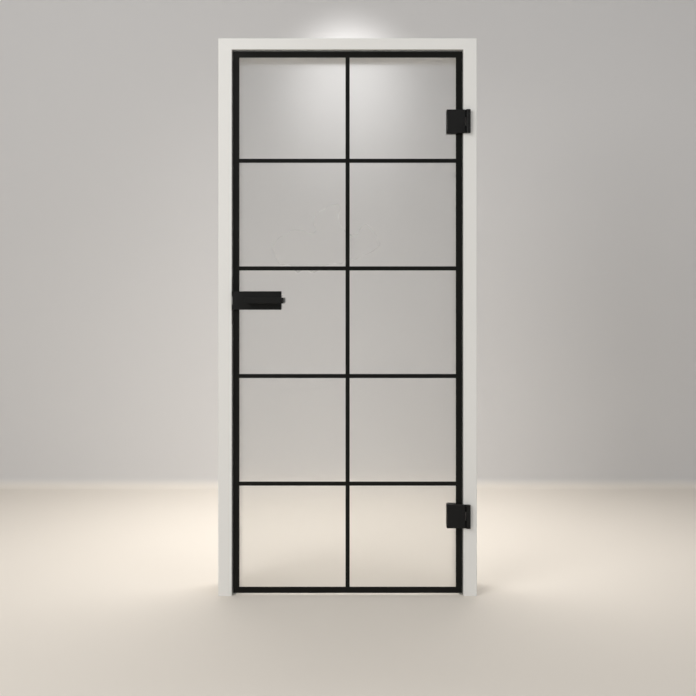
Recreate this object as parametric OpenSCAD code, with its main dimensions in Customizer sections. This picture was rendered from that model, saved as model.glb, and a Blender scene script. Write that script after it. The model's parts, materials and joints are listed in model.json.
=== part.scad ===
// All-glass swing door with a printed bar pattern, hung in a wrap-around timber frame.
// X runs across the opening with the hinges at +X, Y runs through the wall away from the
// side that the leaf opens to, and Z runs up from the finished floor. Millimetres.

/* [Glass leaf] */
// Width of the glass leaf
leaf_w = 834; // [700:1:1100]
// Height of the glass leaf
leaf_h = 1972; // [1600:1:2400]
// Thickness of the glass
glass_t = 8; // [8:0.1:12]
// Gap between the leaf's side edge and the rebate
gap_side = 3.5; // [3:0.5:5]
// Gap above the leaf
gap_top = 4; // [3:0.5:6]
// Gap under the leaf
gap_bottom = 7; // [5:1:12]

/* [Printed bars] */
// Width of the printed border
border_w = 23; // [15:1:35]
// Width of the printed bars
bar_w = 15; // [8:0.5:25]
// Panes across
grid_cols = 2; // [1:1:4]
// Panes from top to bottom
grid_rows = 5; // [2:1:8]
// Extra height of the top and bottom rows over the others
end_row_extra = 6.8; // [0:0.1:20]
// Thickness of the fired enamel
ink_t = 0.3; // [0.2:0.1:0.5]

/* [Frame] */
// Thickness of the wall that the frame wraps around
wall_t = 140; // [100:5:300]
// Thickness of the lining boards
lining_t = 22; // [20:1:28]
// Thickness of the casings
casing_t = 18; // [16:1:20]
// Visible width of the front side casings, from the rebate outwards
casing_side_w = 49; // [44:1:90]
// Visible height of the front head casing, from the rebate up
casing_head_w = 41; // [36:1:90]
// Radius on the casings' outer arris
casing_round = 3; // [1:0.5:6]
// Radius on the arris at the rebate
casing_inner_round = 1; // [0.5:0.5:1.5]
// Width of the stop that the leaf closes against
stop_w = 15; // [13:1:18]
// Distance from the casing's face to the glass
glass_setback = 12; // [12:0.5:16]
// Distance that the seal stands off the stop
seal_stand = 4; // [3.5:0.5:6]

/* [Hinges] */
// Height of a hinge
hinge_h = 85; // [75:1:110]
// Leaf's top edge to the middle of the upper hinge
hinge_from_top = 258; // [150:1:400]
// Leaf's bottom edge to the middle of the lower hinge
hinge_from_bottom = 283; // [150:1:400]
// How far the hinge plate reaches in from the glass edge
hinge_plate_w = 57; // [54:1:80]
// Diameter of the hinge barrel
barrel_d = 16.5; // [15:0.1:20]
// Diameter of the hinge pin
hinge_pin_d = 10; // [8:0.1:10]
// Height of the frame's knuckle
knuckle_h = 33; // [30:1:40]
// Hinge axis beyond the glass edge
axis_out = 20; // [19:0.5:24]
// Distance between a hinge's two clamp screws
hinge_screw_pitch = 43; // [40:1:52]

/* [Lock and levers] */
// Length of the lock case along the leaf
lock_w = 176; // [165:1:215]
// Height of the lock case
lock_h = 67; // [60:1:80]
// Height of the spindle above the floor
lock_z = 1072; // [900:1:1150]
// Glass edge to the spindle
spindle_inset = 56; // [54:1:66]
// Depth of the lock case
case_t = 17; // [17:0.5:22]
// Side of the square spindle
spindle_s = 8; // [8:1:9]
// Length of a lever from the spindle's centre to its end
lever_len = 130.2; // [110:0.1:160]
// Height of a lever's bar
lever_h = 20; // [18:1:26]
// Thickness of a lever's bar
lever_t = 10; // [8:1:14]
// Glass face to a lever's outer face
lever_reach = 60; // [52:1:75]
// Length of the latch beyond the lock case
latch_out = 11; // [10:0.5:12]

/* [Hidden] */
$fn = 64;

// Cutters run past the faces that they open by this much
over = 1;
// Clearance of a pin or journal that turns in its bore
run_gap = 0.05;
// Clearance of a piece that slides or stands free beside another
slide_gap = 0.2;
// Clearance around a fixed part in its recess
seat_gap = 0.1;
// Clearance of a screw in its tapped hole
thread_gap = 0.03;
// Space left past the end of a screw or a pin in its hole
end_gap = 1;
// Shapes that make up one piece reach this far into each other
sink = 0.01;

// Opening
glass_edge = leaf_w / 2;
rebate_half = glass_edge + gap_side;
clear_half = rebate_half - stop_w;
lining_half = clear_half + lining_t;
casing_half = rebate_half + casing_side_w;
leaf_top = gap_bottom + leaf_h;
rebate_top = leaf_top + gap_top;
clear_top = rebate_top - stop_w;
lining_top = clear_top + lining_t;
casing_top = rebate_top + casing_head_w;

// Depths, from the casing's face into the wall
glass_front = glass_setback;
glass_back = glass_front + glass_t;
stop_y = glass_back + seal_stand;
wall_front = casing_t;
wall_back = wall_front + wall_t;
frame_back = wall_back + casing_t;
lever_front_y = glass_front - lever_reach;
lever_rear_y = glass_back + lever_reach;
depth_shift = -(lever_front_y + frame_back) / 2;

// Joints between casings and linings
tongue_t = 3;
tongue_len = 8;
rear_tongue_len = 12;
tongue_gap = 0.2;
front_tongue_x = (rebate_half + lining_half) / 2;
rear_tongue_x = (clear_half + lining_half) / 2;
front_tongue_z = (rebate_top + lining_top) / 2;
rear_tongue_z = (clear_top + lining_top) / 2;

// Seal
seal_tip_gap = 0.3;
seal_bulb_r = seal_stand - seal_tip_gap;
seal_wall = 1.2;
seal_stem_t = 2.8;
seal_stem_len = 7;
seal_groove_w = 3;
seal_groove_d = 8;
seal_inset = stop_w / 2;
seal_line_x = clear_half + seal_inset;
seal_line_z = clear_top + seal_inset;

// Corner joints of the linings
dowel_r = 4;
dowel_up = 15;
dowel_down = 20;
dowel_y = wall_front + wall_t / 2;
cam_r = 7.5;
cam_t = 12.5;
cam_drop = 34;
cam_ys = [wall_front + wall_t * 0.25, wall_front + wall_t * 0.75];
cam_bolt_r = 3;
cam_bolt_up = 14;
cam_x = lining_half - cam_t / 2;

// The print stops short of the glass edge by this much
print_inset = 0.4;

// Hinges
gasket_t = 1;
gasket_inset = 0.5;
plate_rear_y = glass_front - gasket_t;
barrel_r = barrel_d / 2;
barrel_gap = 1.75;
axis_x = glass_edge + axis_out;
axis_y = -barrel_r - barrel_gap;
hinge_zs = [leaf_top - hinge_from_top, gap_bottom + hinge_from_bottom];
hinge_x0 = glass_edge - hinge_plate_w;
hinge_body_inset = 1;
hinge_body_x1 = glass_edge - hinge_body_inset;
hinge_tap_skin = 3;
hinge_cover_t = 2.5;
hinge_link_t = 5.75;
hinge_body_y = -barrel_gap - hinge_link_t;
hinge_groove = 2.25;
hinge_cover_x1 = axis_x - barrel_r - hinge_groove;
knuckle_gap = 0.6;
knuckle_side_gap = 1.75;
knuckle_room = barrel_r + knuckle_side_gap;
bush_wall = 1.5;
bush_flange_t = 0.5;
bush_flange_inset = 0.35;
bush_flange_r = barrel_r - bush_flange_inset;
pin_r = hinge_pin_d / 2;
bush_r = pin_r + bush_wall;
end_cap_t = 1.5;
pin_end_gap = 0.5;
hinge_counter_gap = 3.5;
hinge_counter_x1 = clear_half - hinge_counter_gap;
hinge_counter_t = 8;
hinge_rear_cover_t = 2.5;
hinge_screw_x = (hinge_x0 + hinge_counter_x1) / 2;
hinge_screw_zs = [-hinge_screw_pitch / 2, hinge_screw_pitch / 2];
plate_corner_r = 1.5;

// Glass holes, sleeves and clamp screws
glass_hole_r = 8;
sleeve_wall_gap = 0.1;
screw_r = 3;
screw_hole_r = 3.2;
screw_head_r = 6;
screw_head_h = 3;
screw_key = 4;
screw_key_depth = 2;

// Frame part of a hinge and its receiver in the frame
peg_r = 5;
peg_pitch = 17;
peg_len = 34;
peg_hole_gap = 0.3;
peg_end_gap = 2;
arm_w = 10;
arm_h = 24;
foot_w = 14;
foot_h = 30;
receiver_w = 20;
receiver_len = 40;
receiver_h = 40;
ear_t = 3;
ear_h = 84;
ear_set_back = 6;
ear_y0 = wall_front + ear_set_back;
wood_screw_r = 2;
wood_screw_head_r = 4;
wood_screw_head_h = 2;
wood_screw_len = 16;
ear_screw_zs = [-33, 33];
ear_screw_ys = [wall_front + 16, wall_front + 32];

// Lock
lock_x0 = -glass_edge;
lock_x1 = lock_x0 + lock_w;
case_front = plate_rear_y - case_t;
case_wall = 3;
case_end_wall = 4;
cover_t = 2;
back_plate_t = 1.2;
back_plate_y = plate_rear_y - back_plate_t;
pocket_x0 = lock_x0 + case_end_wall;
pocket_x1 = lock_x1 - case_end_wall;
pocket_z = lock_h / 2 - case_wall;
spindle_x = lock_x0 + spindle_inset;
journal_r = 8;
neck_r = 8;
neck_hole_gap = 0.5;
spindle_gap = 0.05;
spindle_hole_r = 10;
boss_r = 5;

// The lock's clamp screws: one below the latch near the edge, two beyond the spindle
lock_screw_edge = 32;
lock_screw_low = 9.5;
lock_screw_past_spindle = 39;
lock_screw_end = 21;
lock_screws = [
  [lock_x0 + lock_screw_edge, -lock_h / 2 + lock_screw_low],
  [spindle_x + lock_screw_past_spindle, 0],
  [lock_x1 - lock_screw_end, 0]
];

// Clamp plate and cover behind the glass
lock_rear_gap = 4;
lock_rear_x0 = -clear_half + lock_rear_gap;
lock_plate_t = 7;
lock_shell_t = 12;
lock_shell_wall = 2;

// Latch and follower
latch_t = 7.3;
latch_y1 = back_plate_y - slide_gap;
latch_y0 = latch_y1 - latch_t;
latch_half = 15;
latch_top = 24;
latch_tip_t = 2;
bevel_len = 9.5;
riser_w = 10.5;
riser_gap = 0.5;
riser_x0 = pocket_x0 + riser_gap;
riser_x1 = riser_x0 + riser_w;
latch_tip_x = lock_x0 - latch_out;
arm_r = 17;
arm_tip_r = 3;
arm_stem_t = 4;
notch_side_gap = 0.75;
notch_top_gap = 1.25;
notch_half = arm_tip_r + notch_side_gap;
notch_top = arm_r + arm_tip_r + notch_top_gap;
bar_z0 = 13.5;
bar_end = 6;
bar_x1 = spindle_x + notch_half + bar_end;
hub_r = 10;
hub_y0 = case_front + case_wall + slide_gap;
rail_gap = 2;
rail_x0 = riser_x1 + rail_gap;
rail_z0 = 22;
window_gap = 0.25;

// Latch spring
spring_wire = 0.8;
spring_r = 2.8;
spring_turns = 9;
spring_steps = 14;
spring_sides = 8;
spring_y = (latch_y0 + latch_y1) / 2;
spring_post_gap = 2;
spring_post_t = 2.5;
spring_post_x = spindle_x - hub_r - spring_post_gap - spring_post_t;
spring_post_h = 8;
spring_x0 = riser_x1 + seat_gap;
spring_x1 = spring_post_x - seat_gap;

// Levers
lever_corner_r = 2.5;
lever_heel = lever_h / 2;
neck_front_y = case_front - slide_gap;
neck_front_inner = lever_front_y + lever_t;
neck_rear_inner = lever_rear_y - lever_t;
neck_end_gap = 0.5;
neck_rear_y = glass_back + gasket_t + neck_end_gap;
spindle_inset_y = 4;
spindle_y0 = neck_front_inner + spindle_inset_y;
spindle_y1 = neck_rear_inner - spindle_inset_y;
grub_r = 2.5;
grub_depth = 0.5;
grub_from_bar = 13;
grub_front_y = neck_front_inner + grub_from_bar;
grub_rear_y = neck_rear_inner - grub_from_bar;

// Strike
strike_t = 2;
strike_half = 85;
strike_y0 = 0.8;
strike_stop_gap = 1.2;
strike_y1 = stop_y - strike_stop_gap;
strike_gap = 0.5;
strike_end_gap = 2;
strike_slot_half = latch_half + strike_end_gap;
strike_pocket_d = 15.5;
strike_screw_zs = [-70, 70];
strike_screw_len = 28;

// Colours
WHITE = [0.90, 0.90, 0.88];
BLACK = [0.11, 0.11, 0.11];
STEEL = [0.66, 0.67, 0.69];
BEECH = [0.80, 0.66, 0.48];
SEAL_GREY = [0.80, 0.80, 0.78];
GLASS = [0.72, 0.75, 0.75, 0.6];
GASKET = [0.90, 0.90, 0.90];
NYLON = [0.15, 0.15, 0.15];

// Shapes that repeat

// Moves everything so that the origin lies under the middle of the whole door
module placed() translate([0, depth_shift, 0]) children();

// A block between two corners
module block(low, high) translate(low) cube(high - low);

// Round bars along X, Y and Z
module bar_x(r, x0, x1, y, z) translate([x0, y, z]) rotate([0, 90, 0]) cylinder(r = r, h = x1 - x0);
module bar_y(r, x, z, y0, y1) translate([x, y0, z]) rotate([-90, 0, 0]) cylinder(r = r, h = y1 - y0);
module bar_z(r, x, y, z0, z1) translate([x, y, z0]) cylinder(r = r, h = z1 - z0);

// Extrudes a shape drawn in X and Z from y0 to y1
module upright(y0, y1) translate([0, y1, 0]) rotate([90, 0, 0]) linear_extrude(y1 - y0) children();

// A rectangle with round corners between two corners
module round_rect(low, high, r) {
  translate([low.x + r, low.y]) square([high.x - low.x - 2 * r, high.y - low.y]);
  translate([low.x, low.y + r]) square([high.x - low.x, high.y - low.y - 2 * r]);
  for (x = [low.x + r, high.x - r], y = [low.y + r, high.y - r]) {
    translate([x, y]) circle(r = r);
  }
}

// A countersunk screw along +Y: shank from y0, head's face at y1, with a hexagon key hole
module clamp_screw(x, z, y0, y1) {
  difference() {
    union() {
      bar_y(screw_r, x, z, y0, y1 - screw_head_h + sink);
      translate([x, y1 - screw_head_h, z]) rotate([-90, 0, 0])
        cylinder(r1 = screw_r, r2 = screw_head_r, h = screw_head_h);
    }
    translate([x, y1 - screw_key_depth, z]) rotate([-90, 0, 0])
      cylinder(d = screw_key / cos(30), h = screw_key_depth + over, $fn = 6);
  }
}

// The hole for a clamp screw through a plate whose outer face is at y1
module clamp_hole(x, z, y0, y1) {
  bar_y(screw_hole_r, x, z, y0 - over, y1 + over);
  translate([x, y1 - screw_head_h - seat_gap, z]) rotate([-90, 0, 0])
    cylinder(r1 = screw_hole_r, r2 = screw_head_r + seat_gap * 2, h = screw_head_h + seat_gap);
}

// A countersunk wood screw that points along -X from a face at x
module wood_screw(x, y, z, len, gap = 0) {
  bar_x(wood_screw_r + gap, x - len - gap, x + gap, y, z);
  translate([x - wood_screw_head_h, y, z]) rotate([0, 90, 0])
    cylinder(r1 = wood_screw_r + gap, r2 = wood_screw_head_r + gap, h = wood_screw_head_h);
}

// Frame

// Puts a side piece that is drawn at +X on the latch side
module latch_side() mirror([1, 0, 0]) children();

// Section of a casing: its visible face on the X axis, w wide, with rounded arrises
module casing_section(w, r_in, r_out) {
  translate([r_in, 0]) square([w - r_in - r_out, casing_t]);
  translate([0, r_in]) square([r_in, casing_t - r_in]);
  translate([r_in, r_in]) circle(r = r_in);
  translate([w - r_out, r_out]) square([r_out, casing_t - r_out]);
  translate([w - r_out, r_out]) circle(r = r_out);
}

// Keeps the part of a side piece below the mitre from the inner to the outer corner
module mitred_side(inner_x, outer_x, inner_z, outer_z) {
  intersection() {
    children();
    upright(-over, frame_back + over)
      polygon([[inner_x, 0], [outer_x, 0], [outer_x, outer_z], [inner_x, inner_z]]);
  }
}

// Keeps the part of a head piece above the two mitres
module mitred_head(inner_x, outer_x, inner_z, outer_z) {
  intersection() {
    children();
    upright(-over, frame_back + over)
      polygon([[-inner_x, inner_z], [inner_x, inner_z], [outer_x, outer_z], [-outer_x, outer_z]]);
  }
}

// Tongues of the casings. With a gap they cut the grooves, which are open at the foot.
module front_tongue_side(gap = 0) {
  block([front_tongue_x - tongue_t / 2 - gap, wall_front - sink, gap > 0 ? -over : 0],
    [front_tongue_x + tongue_t / 2 + gap, wall_front + tongue_len + gap, clear_top]);
}

module rear_tongue_side(gap = 0) {
  block([rear_tongue_x - tongue_t / 2 - gap, wall_back - rear_tongue_len - gap, gap > 0 ? -over : 0],
    [rear_tongue_x + tongue_t / 2 + gap, wall_back + sink, clear_top]);
}

module front_tongue_head(gap = 0) {
  block([-clear_half - gap, wall_front - sink, front_tongue_z - tongue_t / 2 - gap],
    [clear_half + gap, wall_front + tongue_len + gap, front_tongue_z + tongue_t / 2 + gap]);
}

module rear_tongue_head(gap = 0) {
  block([-clear_half - gap, wall_back - rear_tongue_len - gap, rear_tongue_z - tongue_t / 2 - gap],
    [clear_half + gap, wall_back + sink, rear_tongue_z + tongue_t / 2 + gap]);
}

// Grooves for the seal, up both sides and across the head
module seal_grooves() {
  half = seal_groove_w / 2;
  for (side = [-1, 1]) {
    block([side * seal_line_x - half, stop_y - over, -over],
      [side * seal_line_x + half, stop_y + seal_groove_d, seal_line_z + half]);
  }
  block([-seal_line_x - half, stop_y - over, seal_line_z - half],
    [seal_line_x + half, stop_y + seal_groove_d, seal_line_z + half]);
}

// Dowels, cams and cam bolts that join the head lining to the side linings
module corner_dowel_set(gap = 0) {
  for (side = [-1, 1]) {
    bar_z(dowel_r + gap, side * rear_tongue_x, dowel_y,
      clear_top - dowel_down - gap, clear_top + dowel_up + gap);
  }
}

module corner_cam_set(gap = 0) {
  for (side = [-1, 1], y = cam_ys) {
    bar_x(cam_r + gap, side > 0 ? lining_half - cam_t - gap : -lining_half - gap,
      side > 0 ? lining_half + gap : -lining_half + cam_t + gap, y, clear_top - cam_drop);
  }
}

module corner_bolt_set(gap = 0) {
  for (side = [-1, 1], y = cam_ys) {
    bar_z(cam_bolt_r + gap, side * cam_x, y,
      clear_top - cam_drop, clear_top + cam_bolt_up + gap);
  }
}

// Recess for the strike plate, on the latch side
module strike_blank(gap = 0) {
  block([-rebate_half - strike_t - gap, strike_y0 - gap, lock_z - strike_half - gap],
    [-rebate_half + gap, strike_y1 + gap, lock_z + strike_half + gap]);
}

module strike_screw_set(gap = 0) {
  for (z = strike_screw_zs) {
    wood_screw(-rebate_half, (strike_y0 + strike_y1) / 2, lock_z + z, strike_screw_len, gap);
  }
}

// The space that the latch enters behind the strike plate
module latch_pocket() {
  block([-rebate_half - strike_pocket_d, latch_y0 - strike_gap, lock_z - strike_slot_half],
    [-rebate_half + over, latch_y1 + strike_gap, lock_z + strike_slot_half]);
}

module receiver_screw_set(gap = 0) {
  for (zc = hinge_zs, z = ear_screw_zs, y = ear_screw_ys) {
    wood_screw(lining_half + ear_t, y, zc + z, wood_screw_len, gap);
  }
}

// A lining side board at +X, with its rebate, grooves and corner joints
module lining_side() {
  difference() {
    block([clear_half, wall_front, 0], [lining_half, wall_back, clear_top]);
    block([clear_half - over, wall_front - over, -over], [rebate_half, stop_y, clear_top + over]);
    seal_grooves();
    front_tongue_side(tongue_gap);
    rear_tongue_side(tongue_gap);
    corner_dowel_set();
    corner_cam_set();
    corner_bolt_set(seat_gap);
  }
}

module lining_hinge_side() {
  color(WHITE) placed() difference() {
    lining_side();
    receiver_screw_set();
  }
}

module lining_latch_side() {
  color(WHITE) placed() difference() {
    latch_side() lining_side();
    strike_blank();
  }
}

module lining_head() {
  color(WHITE) placed() difference() {
    block([-lining_half, wall_front, clear_top], [lining_half, wall_back, lining_top]);
    block([-rebate_half, wall_front - over, clear_top - over], [rebate_half, stop_y, rebate_top]);
    seal_grooves();
    front_tongue_head(tongue_gap);
    rear_tongue_head(tongue_gap);
    corner_dowel_set();
    corner_bolt_set(seat_gap);
  }
}

module casing_front_side() {
  mitred_side(rebate_half, casing_half, rebate_top, casing_top)
    translate([rebate_half, 0, 0]) linear_extrude(casing_top)
      casing_section(casing_side_w, casing_inner_round, casing_round);
  front_tongue_side();
}

module casing_front_hinge_side() {
  color(WHITE) placed() difference() {
    casing_front_side();
    for (zc = hinge_zs, z = [-peg_pitch / 2, peg_pitch / 2]) {
      bar_y(peg_r + peg_hole_gap, axis_x, zc + z, -over, casing_t + over);
    }
  }
}

module casing_front_latch_side() {
  color(WHITE) placed() difference() {
    latch_side() casing_front_side();
    strike_blank();
    latch_pocket();
    strike_screw_set();
  }
}

module casing_front_head() {
  color(WHITE) placed() {
    mitred_head(rebate_half, casing_half, rebate_top, casing_top)
      translate([0, 0, rebate_top]) rotate([0, -90, 0])
        linear_extrude(2 * casing_half, center = true)
          casing_section(casing_head_w, casing_inner_round, casing_round);
    front_tongue_head();
  }
}

// The rear casings cover the lining's edge, so they start at the clear opening
module casing_rear_side() {
  mitred_side(clear_half, casing_half, clear_top, casing_top)
    translate([clear_half, frame_back, 0]) linear_extrude(casing_top) mirror([0, 1])
      casing_section(casing_half - clear_half, casing_round, casing_round);
  rear_tongue_side();
}

module casing_rear_hinge_side() {
  color(WHITE) placed() casing_rear_side();
}

module casing_rear_latch_side() {
  color(WHITE) placed() latch_side() casing_rear_side();
}

module casing_rear_head() {
  color(WHITE) placed() {
    mitred_head(clear_half, casing_half, clear_top, casing_top)
      translate([0, frame_back, clear_top]) rotate([0, -90, 0])
        linear_extrude(2 * casing_half, center = true) mirror([0, 1])
          casing_section(casing_top - clear_top, casing_round, casing_round);
    rear_tongue_head();
  }
}

// Section of the seal: a hollow half-round bulb on the stop, and a stem in the groove
module seal_section() {
  difference() {
    intersection() {
      circle(r = seal_bulb_r);
      translate([-seal_bulb_r, -seal_bulb_r]) square([2 * seal_bulb_r, seal_bulb_r]);
    }
    intersection() {
      circle(r = seal_bulb_r - seal_wall);
      translate([-seal_bulb_r, -seal_bulb_r]) square([2 * seal_bulb_r, seal_bulb_r - seal_wall / 2]);
    }
  }
  translate([-seal_stem_t / 2, -sink]) square([seal_stem_t, seal_stem_len]);
}

module seal_side() {
  reach = seal_bulb_r + over;
  mitred_side(seal_line_x - reach, seal_line_x + reach, seal_line_z - reach, seal_line_z + reach)
    translate([seal_line_x, stop_y, 0]) linear_extrude(seal_line_z + reach) seal_section();
}

module seal_hinge_side() {
  color(SEAL_GREY) placed() seal_side();
}

module seal_latch_side() {
  color(SEAL_GREY) placed() latch_side() seal_side();
}

module seal_head() {
  reach = seal_bulb_r + over;
  color(SEAL_GREY) placed()
    mitred_head(seal_line_x - reach, seal_line_x + reach, seal_line_z - reach, seal_line_z + reach)
      translate([0, stop_y, seal_line_z]) rotate([0, -90, 0])
        linear_extrude(2 * (seal_line_x + reach), center = true) seal_section();
}

module corner_dowels() {
  color(BEECH) placed() corner_dowel_set();
}

// A cam has a hole from its rim for the end of its bolt
module corner_cams() {
  color(STEEL) placed() difference() {
    corner_cam_set();
    corner_bolt_set(seat_gap);
  }
}

module corner_bolts() {
  color(STEEL) placed() corner_bolt_set();
}

module strike_plate() {
  color(STEEL) placed() difference() {
    strike_blank();
    latch_pocket();
    strike_screw_set(seat_gap);
  }
}

module strike_screws() {
  color(STEEL) placed() strike_screw_set();
}

// Receiver behind the casing: a block with two holes for the pegs, and ears for wood screws
module hinge_receiver(zc) {
  color(STEEL) placed() difference() {
    union() {
      block([lining_half, wall_front, zc - receiver_h / 2],
        [lining_half + receiver_w, wall_front + receiver_len, zc + receiver_h / 2]);
      block([lining_half, ear_y0, zc - ear_h / 2],
        [lining_half + ear_t, wall_front + receiver_len, zc + ear_h / 2]);
    }
    for (z = [-peg_pitch / 2, peg_pitch / 2]) {
      bar_y(peg_r + run_gap, axis_x, zc + z, wall_front - over, wall_front + peg_len + peg_end_gap);
    }
    receiver_screw_set(seat_gap);
  }
}

module hinge_receiver_upper() hinge_receiver(hinge_zs[0]);
module hinge_receiver_lower() hinge_receiver(hinge_zs[1]);

module receiver_screws() {
  color(STEEL) placed() receiver_screw_set();
}

// Middle knuckle with its arm, foot and two pegs
module hinge_frame_part(zc) {
  color(BLACK) placed() difference() {
    union() {
      bar_z(barrel_r, axis_x, axis_y, zc - knuckle_h / 2, zc + knuckle_h / 2);
      block([axis_x - arm_w / 2, axis_y, zc - arm_h / 2], [axis_x + arm_w / 2, 0, zc + arm_h / 2]);
      block([axis_x - foot_w / 2, -barrel_gap, zc - foot_h / 2],
        [axis_x + foot_w / 2, 0, zc + foot_h / 2]);
      for (z = [-peg_pitch / 2, peg_pitch / 2]) {
        bar_y(peg_r, axis_x, zc + z, -over, wall_front + peg_len);
      }
    }
    bar_z(pin_r + thread_gap, axis_x, axis_y, zc - knuckle_h, zc + knuckle_h);
  }
}

module hinge_frame_part_upper() hinge_frame_part(hinge_zs[0]);
module hinge_frame_part_lower() hinge_frame_part(hinge_zs[1]);

module hinge_pins() {
  half = hinge_h / 2 - end_cap_t - pin_end_gap;
  color(STEEL) placed() for (zc = hinge_zs) {
    bar_z(pin_r, axis_x, axis_y, zc - half, zc + half);
  }
}

// Leaf

module glass_pane() {
  color(GLASS) placed() upright(glass_front, glass_back) difference() {
    translate([-glass_edge, gap_bottom]) square([leaf_w, leaf_h]);
    for (zc = hinge_zs, z = hinge_screw_zs) {
      translate([hinge_screw_x, zc + z]) circle(r = glass_hole_r);
    }
    for (p = lock_screws) {
      translate([p.x, lock_z + p.y]) circle(r = glass_hole_r);
    }
    translate([spindle_x, lock_z]) circle(r = spindle_hole_r);
  }
}

// Footprints of the front gaskets, where the print leaves room for them
module front_footprints(gap) {
  for (zc = hinge_zs) {
    translate([hinge_x0 + gasket_inset - gap, zc - hinge_h / 2 + gasket_inset - gap])
      square([hinge_plate_w, hinge_h - 2 * gasket_inset + 2 * gap]);
  }
  translate([lock_x0, lock_z - lock_h / 2 + gasket_inset - gap])
    square([lock_w - gasket_inset + gap, lock_h - 2 * gasket_inset + 2 * gap]);
}

module printed_bars() {
  row_pitch = (leaf_h - 2 * end_row_extra) / grid_rows;
  col_pitch = leaf_w / grid_cols;
  color(BLACK) placed() upright(glass_front - ink_t, glass_front) difference() {
    union() {
      difference() {
        translate([-glass_edge + print_inset, gap_bottom + print_inset])
          square([leaf_w - 2 * print_inset, leaf_h - 2 * print_inset]);
        translate([-glass_edge + border_w, gap_bottom + border_w])
          square([leaf_w - 2 * border_w, leaf_h - 2 * border_w]);
      }
      for (i = [1:1:grid_cols - 1]) {
        translate([-glass_edge + i * col_pitch - bar_w / 2, gap_bottom + border_w / 2])
          square([bar_w, leaf_h - border_w]);
      }
      for (i = [1:1:grid_rows - 1]) {
        translate([-glass_edge + border_w / 2, gap_bottom + end_row_extra + i * row_pitch - bar_w / 2])
          square([leaf_w - border_w, bar_w]);
      }
    }
    front_footprints(seat_gap);
  }
}

// Plate with the two outer knuckles, clamped to the front of the glass
module hinge_plate(zc) {
  low = zc - hinge_h / 2;
  high = zc + hinge_h / 2;
  mid = knuckle_h / 2 + knuckle_gap;
  color(BLACK) placed() difference() {
    union() {
      block([hinge_x0, hinge_body_y, low], [hinge_body_x1, plate_rear_y, high]);
      block([hinge_body_x1 - over, hinge_body_y, low], [axis_x, -barrel_gap, high]);
      bar_z(barrel_r, axis_x, axis_y, low, high);
    }
    block([axis_x - knuckle_room, axis_y - barrel_d, zc - mid], [axis_x + barrel_d, over, zc + mid]);
    bar_z(bush_r, axis_x, axis_y, low - over, high + over);
    for (z = hinge_screw_zs) {
      bar_y(screw_r + thread_gap, hinge_screw_x, zc + z,
        hinge_body_y + hinge_tap_skin, plate_rear_y + over);
    }
  }
}

module hinge_plate_upper() hinge_plate(hinge_zs[0]);
module hinge_plate_lower() hinge_plate(hinge_zs[1]);

module hinge_cover(zc) {
  color(BLACK) placed() upright(hinge_body_y - hinge_cover_t, hinge_body_y)
    round_rect([hinge_x0, zc - hinge_h / 2], [hinge_cover_x1, zc + hinge_h / 2], plate_corner_r);
}

module hinge_cover_upper() hinge_cover(hinge_zs[0]);
module hinge_cover_lower() hinge_cover(hinge_zs[1]);

module hinge_counter_plate(zc) {
  y0 = glass_back + gasket_t;
  y1 = y0 + hinge_counter_t;
  color(BLACK) placed() difference() {
    upright(y0, y1)
      round_rect([hinge_x0, zc - hinge_h / 2], [hinge_counter_x1, zc + hinge_h / 2], plate_corner_r);
    for (z = hinge_screw_zs) {
      clamp_hole(hinge_screw_x, zc + z, y0, y1);
    }
  }
}

module hinge_counter_plate_upper() hinge_counter_plate(hinge_zs[0]);
module hinge_counter_plate_lower() hinge_counter_plate(hinge_zs[1]);

module hinge_rear_cover(zc) {
  y0 = glass_back + gasket_t + hinge_counter_t;
  color(BLACK) placed() upright(y0, y0 + hinge_rear_cover_t)
    round_rect([hinge_x0, zc - hinge_h / 2], [hinge_counter_x1, zc + hinge_h / 2], plate_corner_r);
}

module hinge_rear_cover_upper() hinge_rear_cover(hinge_zs[0]);
module hinge_rear_cover_lower() hinge_rear_cover(hinge_zs[1]);

// One gasket in front of the glass and one behind it at each hinge
module hinge_gaskets() {
  half = hinge_h / 2 - gasket_inset;
  color(GASKET) placed() for (zc = hinge_zs) {
    difference() {
      union() {
        block([hinge_x0 + gasket_inset, plate_rear_y, zc - half],
          [hinge_body_x1 - gasket_inset, glass_front, zc + half]);
        block([hinge_x0 + gasket_inset, glass_back, zc - half],
          [hinge_counter_x1 - gasket_inset, glass_back + gasket_t, zc + half]);
      }
      for (z = hinge_screw_zs) {
        bar_y(glass_hole_r, hinge_screw_x, zc + z, plate_rear_y - over, glass_back + gasket_t + over);
      }
    }
  }
}

// A sleeve keeps a screw off the edge of its glass hole
module sleeve(x, z) {
  difference() {
    bar_y(glass_hole_r - sleeve_wall_gap, x, z, plate_rear_y, glass_back + gasket_t);
    bar_y(screw_hole_r, x, z, plate_rear_y - over, glass_back + gasket_t + over);
  }
}

module hinge_sleeves() {
  color(NYLON) placed() for (zc = hinge_zs, z = hinge_screw_zs) {
    sleeve(hinge_screw_x, zc + z);
  }
}

// Flanged bushes in the outer knuckles, on which the leaf turns and bears
module hinge_bushes() {
  mid = knuckle_h / 2 + knuckle_gap;
  outer = hinge_h / 2 - end_cap_t;
  color(NYLON) placed() for (zc = hinge_zs, side = [0, 1]) {
    translate([axis_x, axis_y, zc]) mirror([0, 0, side]) difference() {
      union() {
        translate([0, 0, mid]) cylinder(r = bush_r, h = outer - mid);
        translate([0, 0, mid - bush_flange_t]) cylinder(r = bush_flange_r, h = bush_flange_t);
      }
      translate([0, 0, mid - over]) cylinder(r = pin_r + run_gap, h = outer);
    }
  }
}

module hinge_end_caps() {
  half = hinge_h / 2;
  color(BLACK) placed() for (zc = hinge_zs) {
    bar_z(bush_r, axis_x, axis_y, zc + half - end_cap_t, zc + half);
    bar_z(bush_r, axis_x, axis_y, zc - half, zc - half + end_cap_t);
  }
}

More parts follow.
